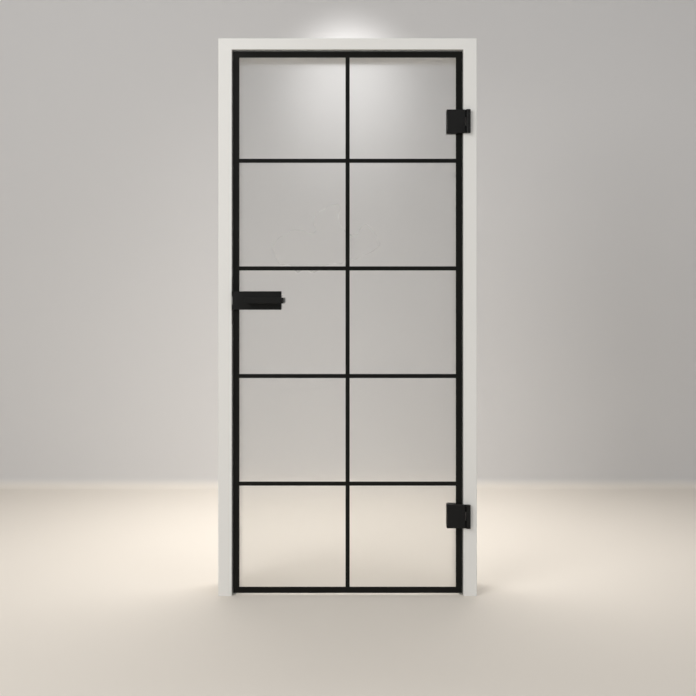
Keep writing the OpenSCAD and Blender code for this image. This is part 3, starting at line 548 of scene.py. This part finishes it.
class Skin:
    """A closed mesh: rings of points, strips between them and flat caps."""

    def __init__(self, axis: Axis) -> None:
        """Starts an empty mesh whose rings stand across an axis."""
        self.axis = axis
        self.mesh = bmesh.new()

    def ring(self, outline: Outline, inset: float, along: float) -> Ring:
        """Adds an outline's points at one place along the axis."""
        return self.ring_of(outline.loop(inset), along)

    def ring_of(self, points: Sequence[tuple[float, float]], along: float) -> Ring:
        """Adds a ring of given points at one place along the axis."""
        return [self.mesh.verts.new(self.axis.point(u, v, along)) for u, v in points]

    def run(self, rings: Sequence[Ring], material: int = 0) -> None:
        """Joins each ring to the next with a strip of four-sided faces."""
        for first, second in zip(rings, rings[1:]):
            for i in range(len(first)):
                j = (i + 1) % len(first)
                face = self.mesh.faces.new((first[i], first[j], second[j], second[i]))
                face.material_index = material

    def cap(self, *rings: Ring, material: int = 0) -> None:
        """Closes a flat between an outer ring and any rings inside it."""
        if len(rings) == 1:
            faces = [self.mesh.faces.new(rings[0])]
        else:
            edges = []
            for ring in rings:
                for i, vert in enumerate(ring):
                    ends = (vert, ring[(i + 1) % len(ring)])
                    edges.append(self.mesh.edges.get(ends) or self.mesh.edges.new(ends))
            filled = bmesh.ops.triangle_fill(self.mesh, edges=edges, use_beauty=True)["geom"]
            faces = [item for item in filled if isinstance(item, bmesh.types.BMFace)]
        for face in faces:
            face.material_index = material

    def round_end(
        self, outline: Outline, end: float, inwards: float, radius: float, steps: int = 3
    ) -> list[Ring]:
        """Adds the rings of a rounded rim.

        Args:
            outline: The piece's full outline.
            end: Place of the flat end along the axis.
            inwards: +1 or -1, the direction from the end into the piece.
            radius: Radius of the rim.
            steps: Strips round the rim; one makes a chamfer.

        Returns:
            The rings, from the edge of the flat to the full outline.
        """
        rings = []
        for step in range(steps + 1):
            angle = math.pi / 2 * step / steps
            along = end + inwards * radius * (1 - math.cos(angle))
            rings.append(self.ring(outline, radius * (1 - math.sin(angle)), along))
        return rings

    def hole(self, outline: Outline, low: float, high: float, chamfer: float) -> list[Ring]:
        """Adds the rings of a through hole with a small chamfer at both ends."""
        return [
            self.ring(outline, -chamfer, low),
            self.ring(outline, 0, low + chamfer),
            self.ring(outline, 0, high - chamfer),
            self.ring(outline, -chamfer, high),
        ]

    def piece(self, name: str) -> bpy.types.Object:
        """Turns the finished mesh into an object in the scene."""
        return Shop.to_object(name, self.mesh)


class Shop:
    """Ways to make an object from a mesh, shared by all the sub-assemblies."""

    @staticmethod
    def to_object(name: str, mesh: bmesh.types.BMesh) -> bpy.types.Object:
        """Makes a shaded object from a mesh that is being edited.

        Args:
            name: The piece's name.
            mesh: Its faces, closed and without doubles. It is used up.

        Returns:
            The new object, linked to the scene.
        """
        bmesh.ops.recalc_face_normals(mesh, faces=mesh.faces)
        data = bpy.data.meshes.new(name)
        mesh.to_mesh(data)
        mesh.free()
        data.polygons.foreach_set("use_smooth", [True] * len(data.polygons))
        data.set_sharp_from_angle(angle=math.radians(SHARP_FROM))
        piece = bpy.data.objects.new(name, data)
        bpy.context.scene.collection.objects.link(piece)
        weighting = piece.modifiers.new("even_shading", "WEIGHTED_NORMAL")
        weighting.keep_sharp = True
        return piece

    @staticmethod
    def welded(node: str) -> bmesh.types.BMesh:
        """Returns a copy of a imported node's mesh with its shared points joined."""
        mesh = bmesh.new()
        mesh.from_mesh(frame["nodes"][node].data)
        bmesh.ops.remove_doubles(mesh, verts=mesh.verts, dist=WELD)
        return mesh

    @staticmethod
    def softened(node: str, radius: float, steps: int = 2, sharpest: float = 32.0) -> bpy.types.Object:
        """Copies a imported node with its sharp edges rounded, as a tumbled or sanded part has them.

        Args:
            node: The node's name.
            radius: Radius of the rounding.
            steps: Strips round each edge.
            sharpest: Edges that turn by more than this many degrees are rounded.

        Returns:
            The new object.
        """
        mesh = Shop.welded(node)
        flat = math.radians(0.4)
        bmesh.ops.dissolve_limit(mesh, angle_limit=flat, verts=mesh.verts, edges=mesh.edges)
        turn = math.radians(sharpest)
        edges = [e for e in mesh.edges if len(e.link_faces) == 2 and e.calc_face_angle(0.0) > turn]
        bmesh.ops.bevel(
            mesh, geom=edges, offset=radius, offset_type="OFFSET", segments=steps,
            profile=0.5, affect="EDGES", clamp_overlap=True,
        )
        bmesh.ops.remove_doubles(mesh, verts=mesh.verts, dist=WELD)
        return Shop.to_object("fine_" + node, mesh)

    @staticmethod
    def slab(
        name: str, outline: Outline, low: float, high: float, rims: tuple[float, float],
        holes: Sequence[Outline] = (), chamfer: float = 0.3 * MM,
    ) -> bpy.types.Object:
        """Makes a plate that stands across Y, with rounded rims and through holes.

        Args:
            name: The piece's name.
            outline: Its outline in X and Z.
            low: Y of its front.
            high: Y of its back.
            rims: Radius of the front rim and of the back rim.
            holes: Outlines of the holes.
            chamfer: Chamfer at the holes.

        Returns:
            The new object.
        """
        skin = Skin(Axis.Y)
        front = skin.round_end(outline, low, 1, rims[0])
        back = skin.round_end(outline, high, -1, rims[1])
        bores = [skin.hole(hole, low, high, chamfer) for hole in holes]
        skin.run(front + back[::-1])
        for bore in bores:
            skin.run(bore)
        skin.cap(front[0], *[bore[0] for bore in bores])
        skin.cap(back[0], *[bore[-1] for bore in bores])
        return skin.piece(name)

    @staticmethod
    def join(name: str, pieces: Sequence[bpy.types.Object]) -> bpy.types.Object:
        """Joins pieces of one kind into one object with that name."""
        mesh = bmesh.new()
        for piece in pieces:
            mesh.from_mesh(piece.data)
            bpy.data.objects.remove(piece)
        return Shop.to_object(name, mesh)

    @staticmethod
    def solids(node: str) -> list[Box]:
        """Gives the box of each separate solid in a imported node, in a fixed order."""
        mesh = Shop.welded(node)
        unseen, boxes = set(mesh.verts), []
        while unseen:
            stack, points = [unseen.pop()], []
            while stack:
                vert = stack.pop()
                points.append(vert.co.copy())
                near = {edge.other_vert(vert) for edge in vert.link_edges} & unseen
                unseen -= near
                stack.extend(near)
            low = Vector([min(p[i] for p in points) for i in range(3)])
            high = Vector([max(p[i] for p in points) for i in range(3)])
            boxes.append((low, high))
        mesh.free()
        return sorted(boxes, key=lambda box: tuple(round(value, 5) for value in box[0]))


class Drive(Enum):
    """The recess in a screw's head."""

    HEXAGON = "hexagon"
    CROSS = "cross"


@dataclass(frozen=True)
class Screw:
    """A screw with a threaded shank and a recess in its head."""

    axis: Axis
    drive: Drive
    key: float
    key_depth: float
    pitch: float
    thread_depth: float
    head_height: float = 0.0
    shank_radius: float = 0.0
    rim: float = 0.15 * MM
    point_length: float = 0.6 * MM
    rings_per_turn: int = 6
    steps: int = 24

    def recess(self, u: float, v: float) -> Outline:
        """Returns the outline of the recess."""
        if self.drive is Drive.HEXAGON:
            return Disc(u, v, self.key / 2 / math.cos(math.pi / 6), 6)
        return Cross(u, v, self.key, self.key / 5)

    def thread(
        self, skin: Skin, u: float, v: float, radius: float, span: tuple[float, float]
    ) -> list[Ring]:
        """Adds the rings of the threaded shank, which ends in a short point.

        Args:
            skin: The mesh to add to.
            u: Centre across the axis.
            v: Centre across the axis.
            radius: Radius over the thread.
            span: Where the thread starts under the head, and where the shank ends.

        Returns:
            The rings, from the head to the tip.
        """
        start, end = span
        length = abs(end - start)
        way = 1 if end > start else -1
        count = max(2, round(length / self.pitch * self.rings_per_turn))
        rings = []
        for i in range(count + 1):
            gone = length * i / count
            taper = min(1.0, (length - gone) / self.point_length * 0.6 + 0.4)
            points = []
            for step in range(self.steps):
                angle = 2 * math.pi * step / self.steps
                turn = (gone / self.pitch + step / self.steps) % 1.0
                cut = self.thread_depth * (1 - abs(2 * turn - 1)) * min(1.0, gone / self.pitch)
                reach = (radius - cut) * taper
                points.append((u + reach * math.cos(angle), v + reach * math.sin(angle)))
            rings.append(skin.ring_of(points, start + way * gone))
        return rings

    def build(self, box: Box, head_first: bool) -> bpy.types.Object:
        """Builds the screw in its box.

        Args:
            box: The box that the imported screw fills.
            head_first: True where the head is at the low end of the axis.

        Returns:
            The new object.
        """
        low, high = box
        u0, v0, a0 = self.axis.split(low)
        u1, v1, a1 = self.axis.split(high)
        u, v, outer = (u0 + u1) / 2, (v0 + v1) / 2, (u1 - u0) / 2
        face, tip = (a0, a1) if head_first else (a1, a0)
        way = 1 if tip > face else -1
        radius = self.shank_radius or outer
        skin = Skin(self.axis)
        head = [skin.ring(Disc(u, v, outer, self.steps), self.rim, face)]
        head.append(skin.ring(Disc(u, v, outer, self.steps), 0, face + way * self.rim))
        shank = self.thread(skin, u, v, radius, (face + way * max(self.head_height, 2 * self.rim), tip))
        skin.run(head + shank)
        recess = self.recess(u, v)
        bottom = skin.ring(recess, self.key / 12, face + way * self.key_depth)
        walls = [skin.ring(recess, 0, face), bottom]
        skin.run(walls)
        skin.cap(head[0], walls[0])
        skin.cap(walls[1])
        skin.cap(shank[-1])
        return skin.piece("screw")


# ---------------------------------------------------------------------------------------------
# Sub-assemblies
# ---------------------------------------------------------------------------------------------


class Bench:
    """Where finished pieces are dressed and put on the bodies that carry them."""

    def __init__(self, book: FinishBook) -> None:
        """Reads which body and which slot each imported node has.

        Args:
            book: The finishes.
        """
        self.book = book
        record = frame["record"]
        self.slots = {part["node"]: part["material_slot"] for part in record["subparts"]}
        bodies = record["behaviour"]["bodies"]
        self.bodies = {node: body for body, nodes in bodies.items() for node in nodes}
        self.dressed: set[str] = set()

    def keep(self, *nodes: str) -> None:
        """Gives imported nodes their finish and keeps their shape."""
        for node in nodes:
            materials = frame["nodes"][node].data.materials
            materials.clear()
            materials.append(self.book.materials[self.slots[node]])
            self.dressed.add(node)
            log.info("kept %s in %s", node, self.slots[node])

    def swap(
        self, piece: bpy.types.Object, node: str, materials: Sequence[bpy.types.Material] = ()
    ) -> None:
        """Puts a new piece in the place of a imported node.

        Args:
            piece: The new piece, already where it belongs.
            node: The node that it stands for.
            materials: Its materials, where it has more than the slot's one.
        """
        for material in materials or [self.book.materials[self.slots[node]]]:
            piece.data.materials.append(material)
        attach(piece, self.bodies[node])
        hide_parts(node)
        self.dressed.add(node)
        log.info("built %s for %s, %d faces", piece.name, node, len(piece.data.polygons))

    def soften(self, radius: float, *nodes: str) -> None:
        """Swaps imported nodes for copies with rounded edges."""
        for node in nodes:
            self.swap(Shop.softened(node, radius), node)


@dataclass
class DoorFrame:
    """Linings, casings, seals and what joins them, with the strike plate and the receivers."""

    bench: Bench
    board_edge: float = 0.5 * MM
    mitre_edge: float = 0.25 * MM
    dowel_edge: float = 0.6 * MM
    fitting_edge: float = 0.3 * MM
    receiver_edge: float = 0.6 * MM
    strike_screw: Screw = Screw(
        Axis.X, Drive.CROSS, key=2.4 * MM, key_depth=1.6 * MM, pitch=1.8 * MM,
        thread_depth=0.6 * MM, head_height=2 * MM, shank_radius=2 * MM, point_length=4 * MM,
    )

    def build(self) -> None:
        """Builds and dresses the whole frame."""
        self.boards()
        self.seals()
        self.joints()
        self.screws()

    def boards(self) -> None:
        """Rounds the boards' edges a little, so that mitres and butt joints show as fine lines."""
        for place in ("hinge_side", "latch_side", "head"):
            self.bench.soften(self.board_edge, f"lining_{place}")
            self.bench.soften(self.mitre_edge, f"casing_front_{place}", f"casing_rear_{place}")

    def seals(self) -> None:
        """Keeps the seals' hollow section."""
        self.bench.keep("seal_hinge_side", "seal_latch_side", "seal_head")

    def joints(self) -> None:
        """Rounds the dowels, cams and bolts, the receivers and the strike plate."""
        self.bench.soften(self.dowel_edge, "corner_dowels")
        self.bench.soften(self.fitting_edge, "corner_cams", "corner_bolts", "strike_plate")
        self.bench.soften(self.receiver_edge, "hinge_receiver_upper", "hinge_receiver_lower")

    def screws(self) -> None:
        """Builds the wood screws of the strike plate and of the receivers."""
        for node in ("strike_screws", "receiver_screws"):
            made = []
            for low, high in Shop.solids(node):
                made.append(self.strike_screw.build((low, high), head_first=False))
            self.bench.swap(Shop.join("fine_" + node, made), node)


@dataclass
class GlassLeaf:
    """The pane with its bores and ground edges, and the print on its front."""

    bench: Bench
    arris: float = 0.4 * MM
    bore_radius: float = 8 * MM
    spindle_bore_radius: float = 10 * MM
    corner_radius: float = 1 * MM

    def build(self) -> None:
        """Builds the pane and dresses the print."""
        self.pane()
        self.bench.keep("printed_bars")

    def bores(self) -> list[Disc]:
        """Finds the pane's bores from the sleeves and the spindle that pass through them."""
        found = []
        for node in ("hinge_sleeves", "lock_sleeves"):
            for low, high in Shop.solids(node):
                found.append(Disc((low.x + high.x) / 2, (low.z + high.z) / 2, self.bore_radius))
        low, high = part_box("spindle")
        found.append(Disc((low.x + high.x) / 2, (low.z + high.z) / 2, self.spindle_bore_radius))
        return found

    def pane(self) -> None:
        """Builds the pane: a clear front, an etched back and ground edges."""
        low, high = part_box("glass_pane")
        outline = RoundRect(low.x, low.z, high.x, high.z, self.corner_radius)
        skin = Skin(Axis.Y)
        faces = list(GlassFace)
        ground = faces.index(GlassFace.GROUND)
        front = skin.round_end(outline, low.y, 1, self.arris, steps=1)
        back = skin.round_end(outline, high.y, -1, self.arris, steps=1)
        bores = [skin.hole(bore, low.y, high.y, self.arris) for bore in self.bores()]
        skin.run(front + back[::-1], ground)
        for bore in bores:
            skin.run(bore, ground)
        skin.cap(front[0], *[bore[0] for bore in bores], material=faces.index(GlassFace.CLEAR))
        skin.cap(back[0], *[bore[-1] for bore in bores], material=faces.index(GlassFace.ETCHED))
        pane = skin.piece("fine_glass_pane")
        self.bench.swap(pane, "glass_pane", [self.bench.book.glass[face] for face in faces])


CLAMP_SCREW = Screw(
    Axis.Y, Drive.HEXAGON, key=4 * MM, key_depth=2 * MM, pitch=1 * MM, thread_depth=0.35 * MM,
    head_height=3 * MM, shank_radius=3 * MM,
)


@dataclass
class Hinge:
    """One of the two clamp hinges."""

    bench: Bench
    level: str
    cover_rim: float = 1.1 * MM
    seat_rim: float = 0.2 * MM
    edge: float = 0.45 * MM
    counter_edge: float = 0.3 * MM
    corner: float = 1.5 * MM

    def build(self) -> None:
        """Builds the hinge's plates, covers and knuckles."""
        self.bench.soften(self.edge, f"hinge_plate_{self.level}", f"hinge_frame_part_{self.level}")
        self.plate(f"hinge_cover_{self.level}", (self.cover_rim, self.seat_rim))
        self.plate(f"hinge_rear_cover_{self.level}", (self.seat_rim, self.cover_rim))
        self.bench.soften(self.counter_edge, f"hinge_counter_plate_{self.level}")

    def plate(self, node: str, rims: tuple[float, float]) -> None:
        """Builds a flat cover with a rounded rim in the place of a node."""
        low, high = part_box(node)
        outline = RoundRect(low.x, low.z, high.x, high.z, self.corner)
        self.bench.swap(Shop.slab("fine_" + node, outline, low.y, high.y, rims), node)


@dataclass
class HingeHardware:
    """What both hinges hold: pins, bushes, end caps, gaskets, sleeves and clamp screws."""

    bench: Bench
    pin_edge: float = 0.4 * MM
    bush_edge: float = 0.15 * MM

    def build(self) -> None:
        """Builds and dresses the small parts."""
        self.bench.soften(self.pin_edge, "hinge_pins", "hinge_end_caps")
        self.bench.soften(self.bush_edge, "hinge_bushes")
        self.bench.keep("hinge_gaskets", "hinge_sleeves")
        made = [CLAMP_SCREW.build(box, head_first=False) for box in Shop.solids("hinge_clamp_screws")]
        self.bench.swap(Shop.join("fine_hinge_clamp_screws", made), "hinge_clamp_screws")


@dataclass
class LeverLock:
    """The lock case with its covers and plates, its screws, its latch and what drives it."""

    bench: Bench
    cover_rim: float = 0.9 * MM
    seat_rim: float = 0.2 * MM
    case_edge: float = 0.4 * MM
    rear_cover_edge: float = 0.8 * MM
    moving_edge: float = 0.3 * MM
    thin_edge: float = 0.2 * MM
    corner: float = 1.5 * MM
    neck_hole: float = 8.5 * MM
    wire: float = 0.8 * MM
    turns: int = 9
    turn_steps: int = 28
    wire_steps: int = 12
    centre: Vector = field(default_factory=Vector)

    def build(self) -> None:
        """Builds and dresses the lock."""
        low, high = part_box("spindle")
        self.centre = (low + high) / 2
        self.bench.soften(self.case_edge, "lock_case")
        self.cover()
        self.bench.soften(self.rear_cover_edge, "lock_rear_cover")
        self.bench.soften(self.moving_edge, "lock_counter_plate", "latch_bolt", "spindle")
        self.bench.soften(self.thin_edge, "follower", "lock_back_plate")
        self.bench.keep("lock_gaskets", "lock_sleeves")
        made = [CLAMP_SCREW.build(box, head_first=False) for box in Shop.solids("lock_clamp_screws")]
        self.bench.swap(Shop.join("fine_lock_clamp_screws", made), "lock_clamp_screws")
        self.spring()

    def cover(self) -> None:
        """Builds the front cover with its hole for the lever's neck."""
        low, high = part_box("lock_cover")
        outline = RoundRect(low.x, low.z, high.x, high.z, self.corner)
        hole = Disc(self.centre.x, self.centre.z, self.neck_hole)
        rims = (self.cover_rim, self.seat_rim)
        cover = Shop.slab("fine_lock_cover", outline, low.y, high.y, rims, [hole])
        self.bench.swap(cover, "lock_cover")

    def spring(self) -> None:
        """Winds the latch spring on a mesh of its own; the real spring gets shorter as the latch slides
        in, but nothing here shortens this one.
        """
        low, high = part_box("latch_spring")
        middle = (low + high) / 2
        radius = (high.z - low.z - self.wire) / 2
        start, end = low.x + self.wire / 2, high.x - self.wire / 2
        count = self.turns * self.turn_steps
        mesh = bmesh.new()
        rings = []
        for i in range(count + 1):
            angle = 2 * math.pi * i / self.turn_steps
            x = start + (end - start) * i / count
            ring = []
            for k in range(self.wire_steps):
                around = 2 * math.pi * k / self.wire_steps
                reach = radius + self.wire / 2 * math.cos(around)
                side = x + self.wire / 2 * math.sin(around)
                y, z = middle.y + reach * math.cos(angle), middle.z + reach * math.sin(angle)
                ring.append(mesh.verts.new((side, y, z)))
            rings.append(ring)
        for first, second in zip(rings, rings[1:]):
            for k in range(self.wire_steps):
                n = (k + 1) % self.wire_steps
                mesh.faces.new((first[k], first[n], second[n], second[k]))
        mesh.faces.new(rings[0])
        mesh.faces.new(rings[-1])
        spring = Shop.to_object("fine_latch_spring", mesh)
        self.bench.swap(spring, "latch_spring")
        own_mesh(spring)


@dataclass
class Lever:
    """A lever: a flat bar with rounded rims, and a neck that takes the spindle."""

    bench: Bench
    side: str
    bar_depth: float = 10 * MM
    corner: float = 2.5 * MM
    outer_rim: float = 1.2 * MM
    inner_rim: float = 0.5 * MM
    fillet: float = 0.8 * MM
    neck_radius: float = 8 * MM
    bore_gap: float = 0.05 * MM
    grub_radius: float = 2.53 * MM
    grub_hole_steps: int = 32
    bore_corner: float = 0.3 * MM
    neck_chamfer: float = 0.4 * MM

    def build(self) -> None:
        """Builds the lever in its node's place."""
        node = f"lever_{self.side}"
        low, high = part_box(node)
        spindle_low, spindle_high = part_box("spindle")
        centre = (spindle_low + spindle_high) / 2
        front = self.side == "front"
        way = 1 if front else -1
        outer, neck_end = (low.y, high.y) if front else (high.y, low.y)
        inner = outer + way * self.bar_depth
        bore_end = spindle_low.y if front else spindle_high.y
        skin = Skin(Axis.Y)
        outline = RoundRect(low.x, low.z, high.x, high.z, self.corner)
        face = skin.round_end(outline, outer, way, self.outer_rim)
        back = skin.round_end(outline, inner, -way, self.inner_rim)
        skin.run(face + back[::-1])
        skin.cap(face[0])
        neck = self.neck(skin, centre, inner, neck_end, way)
        skin.cap(back[0], neck[0])
        half = (spindle_high.z - spindle_low.z) / 2 + self.bore_gap
        ends = (centre.x - half, centre.z - half, centre.x + half, centre.z + half)
        square = RoundRect(*ends, self.bore_corner, 2)
        bore = [skin.ring(square, 0, neck_end), skin.ring(square, 0, bore_end)]
        skin.run(bore)
        skin.cap(neck[-1], bore[0])
        skin.cap(bore[-1])
        lever = self.drill(skin.piece("fine_" + node), centre, way)
        self.bench.swap(lever, node)

    def neck(self, skin: Skin, centre: Vector, inner: float, end: float, way: int) -> list[Ring]:
        """Adds the neck's rings: a fillet at the bar, the neck and a chamfer at its end."""
        disc = Disc(centre.x, centre.z, self.neck_radius)
        rings = []
        for step in range(4):
            angle = math.pi / 2 * step / 3
            along = inner + way * self.fillet * (1 - math.cos(angle))
            rings.append(skin.ring(disc, -self.fillet * (1 - math.sin(angle)), along))
        rings.append(skin.ring(disc, 0, end - way * self.neck_chamfer))
        rings.append(skin.ring(disc, self.neck_chamfer, end))
        skin.run(rings)
        return rings

    def drill(self, lever: bpy.types.Object, centre: Vector, way: int) -> bpy.types.Object:
        """Drills the hole for the grub screw up into the neck.

        Args:
            lever: The lever without the hole. It is used up.
            centre: Middle of the spindle.
            way: +1 for the front lever, -1 for the rear one.

        Returns:
            The drilled lever, under the same name.
        """
        grubs = Shop.solids("lever_grub_screws")
        low, high = grubs[0] if way > 0 else grubs[-1]
        skin = Skin(Axis.Z)
        hole = Disc(centre.x, (low.y + high.y) / 2, self.grub_radius, self.grub_hole_steps)
        rings = [skin.ring(hole, 0, centre.z - 2 * self.neck_radius), skin.ring(hole, 0, centre.z)]
        skin.run(rings)
        skin.cap(rings[0])
        skin.cap(rings[1])
        drill = skin.piece("drill")
        lever.modifiers.clear()
        cut = lever.modifiers.new("grub_hole", "BOOLEAN")
        cut.object = drill
        cut.solver = "EXACT"
        bpy.context.view_layer.update()
        mesh = bmesh.new()
        mesh.from_mesh(lever.evaluated_get(bpy.context.evaluated_depsgraph_get()).to_mesh())
        name = lever.name
        bpy.data.objects.remove(drill)
        bpy.data.objects.remove(lever)
        return Shop.to_object(name, mesh)


@dataclass
class Handle:
    """Both levers with their grub screws."""

    bench: Bench
    grub: Screw = Screw(
        Axis.Z, Drive.HEXAGON, key=2.2 * MM, key_depth=1.6 * MM, pitch=0.8 * MM,
        thread_depth=0.25 * MM, point_length=0.5 * MM,
    )

    def build(self) -> None:
        """Builds the levers and their grub screws."""
        for side in ("front", "rear"):
            Lever(self.bench, side).build()
        made = [self.grub.build(box, head_first=True) for box in Shop.solids("lever_grub_screws")]
        self.bench.swap(Shop.join("fine_lever_grub_screws", made), "lever_grub_screws")


# ---------------------------------------------------------------------------------------------
# Studio
# ---------------------------------------------------------------------------------------------


@dataclass(frozen=True)
class Lamp:
    """A soft area light."""

    name: str
    place: Place
    aim: Place
    size: tuple[float, float]
    power: float
    color: Color = (1.0, 1.0, 1.0)
    spread: float = 180.0

    def build(self) -> None:
        """Puts the light in the scene, turned to its aim."""
        data = bpy.data.lights.new(self.name, "AREA")
        data.shape = "RECTANGLE"
        data.size, data.size_y = self.size
        data.energy = self.power
        data.color = self.color
        data.spread = math.radians(self.spread)
        lamp = bpy.data.objects.new(self.name, data)
        bpy.context.scene.collection.objects.link(lamp)
        lamp.location = self.place
        direction = Vector(self.aim) - Vector(self.place)
        lamp.rotation_euler = direction.to_track_quat("-Z", "Y").to_euler()


@dataclass
class Studio:
    """The camera, a pale floor with a soft sweep behind the door, and the lights."""

    floor_color: Color = (0.86, 0.80, 0.72)
    paper_color: Color = (0.70, 0.69, 0.685)
    reach: float = 9.0
    sweep_y: float = 1.95
    sweep_radius: float = 0.06
    sweep_top: float = 4.6
    drop: float = 0.2 * MM
    arc_steps: int = 12
    eye: Place = (0.0, -3.571, 1.077)
    lens: float = 50.0
    shift: tuple[float, float] = (0.0006, -0.0702)
    glow_power: float = 28.0
    glow_height: float = 2.75
    glow_aim_height: float = 2.27
    glow_set_forward: float = 0.75
    air: Color = (0.87, 0.87, 0.875)
    air_strength: float = 0.39
    lamps: tuple[Lamp, ...] = (
        Lamp("key", (-2.6, -3.2, 2.9), (0.0, 0.0, 1.0), (2.4, 2.4), 95.0, (1.0, 0.99, 0.97)),
        Lamp("fill", (3.2, -3.0, 1.7), (0.0, 0.0, 1.0), (2.0, 2.4), 31.0, (0.97, 0.985, 1.0)),
        Lamp("behind", (0.0, 0.9, 3.3), (0.0, 0.9, 0.0), (2.0, 1.0), 14.0, (1.0, 0.97, 0.93), 70.0),
        Lamp("rear", (-1.6, 4.6, 2.6), (0.0, 0.1, 1.0), (2.2, 2.2), 50.0),
    )

    def camera(self) -> None:
        """Places the level camera before the middle of the door."""
        data = bpy.data.cameras.new("camera")
        data.lens = self.lens
        data.sensor_width = 36.0
        data.shift_x, data.shift_y = self.shift
        data.clip_start = 0.1
        data.clip_end = 60.0
        camera = bpy.data.objects.new("camera", data)
        bpy.context.scene.collection.objects.link(camera)
        camera.location = self.eye
        camera.rotation_euler = (math.pi / 2, 0.0, 0.0)
        bpy.context.scene.camera = camera

    def build(self) -> None:
        """Builds the floor, the sweep, the lights and the world."""
        paper = self.paper()
        self.sheet("studio_floor", [(-self.reach, 0.0), (self.reach, 0.0)], paper)
        arc = []
        for step in range(self.arc_steps + 1):
            angle = math.pi / 2 * step / self.arc_steps
            y = self.sweep_y - self.sweep_radius * (1 - math.sin(angle))
            arc.append((y, self.sweep_radius * (1 - math.cos(angle))))
        self.sheet("studio_sweep", [*arc, (self.sweep_y, self.sweep_top)], paper)
        for lamp in self.lamps:
            lamp.build()
        self.glow()
        self.world()

    def sheet(
        self, name: str, profile: Sequence[tuple[float, float]], material: bpy.types.Material
    ) -> None:
        """Builds a sheet of paper from a profile in Y and Z."""
        mesh = bmesh.new()
        rows = []
        for y, z in profile:
            ends = [(-self.reach, y, z - self.drop), (self.reach, y, z - self.drop)]
            rows.append([mesh.verts.new(end) for end in ends])
        for first, second in zip(rows, rows[1:]):
            mesh.faces.new((first[0], first[1], second[1], second[0]))
        data = bpy.data.meshes.new(name)
        mesh.to_mesh(data)
        mesh.free()
        data.polygons.foreach_set("use_smooth", [True] * len(data.polygons))
        data.materials.append(material)
        sheet = bpy.data.objects.new(name, data)
        bpy.context.scene.collection.objects.link(sheet)

    def paper(self) -> bpy.types.Material:
        """Makes the studio paper, which can be seen from its front only."""
        material = bpy.data.materials.new("studio_paper")
        material.use_nodes = True
        sheet = Sheet(material.node_tree)
        shader = sheet.add("BsdfPrincipled", {"Roughness": 0.8, "Specular IOR Level": 0.15})
        height = sheet.add("SeparateXYZ", {0: sheet.place()}).outputs["Z"]
        ranges = {"Value": height, "From Min": 0.0, "From Max": self.sweep_radius}
        share = sheet.add("MapRange", ranges, interpolation_type="SMOOTHSTEP").outputs["Result"]
        color = sheet.blend(share, (*self.floor_color, 1), (*self.paper_color, 1))
        sheet.feed(shader.inputs["Base Color"], color)
        back = sheet.add("NewGeometry").outputs["Backfacing"]
        clear = sheet.add("BsdfTransparent").outputs[0]
        mixed = sheet.add("MixShader", {0: back, 1: shader.outputs[0], 2: clear}).outputs[0]
        sheet.feed(sheet.add("OutputMaterial").inputs["Surface"], mixed)
        return material

    def glow(self) -> None:
        """Adds the small lamp that lights the sweep above the middle of the door."""
        data = bpy.data.lights.new("glow", "SPOT")
        data.energy = self.glow_power
        data.spot_size = math.radians(60)
        data.spot_blend = 1.0
        data.shadow_soft_size = 0.12
        lamp = bpy.data.objects.new("glow", data)
        bpy.context.scene.collection.objects.link(lamp)
        lamp.location = (0.0, self.sweep_y - self.glow_set_forward, self.glow_height)
        aim = Vector((0.0, self.sweep_y, self.glow_aim_height)) - lamp.location
        lamp.rotation_euler = aim.to_track_quat("-Z", "Y").to_euler()

    def world(self) -> None:
        """Lights everything softly from all sides."""
        world = bpy.data.worlds.new("studio_air")
        bpy.context.scene.world = world
        world.use_nodes = True
        sheet = Sheet(world.node_tree)
        air = sheet.add("Background", {"Color": (*self.air, 1), "Strength": self.air_strength})
        sheet.feed(sheet.add("OutputWorld").inputs["Surface"], air.outputs[0])
        bpy.context.scene.view_settings.view_transform = "Standard"


def main() -> None:
    """Builds the studio and every sub-assembly in order."""
    logging.basicConfig(level=logging.INFO, format="%(name)s: %(message)s")
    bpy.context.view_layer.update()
    studio = Studio()
    studio.camera()
    EffectLibrary().build()
    bench = Bench(FinishBook())
    DoorFrame(bench).build()
    GlassLeaf(bench).build()
    for level in ("upper", "lower"):
        Hinge(bench, level).build()
    HingeHardware(bench).build()
    LeverLock(bench).build()
    Handle(bench).build()
    studio.build()
    plain = sorted(set(frame["nodes"]) - bench.dressed)
    log.info("%d nodes dressed, left plain: %s", len(bench.dressed), plain or "none")
    bpy.context.view_layer.update()


if __name__ == "__main__":
    main()
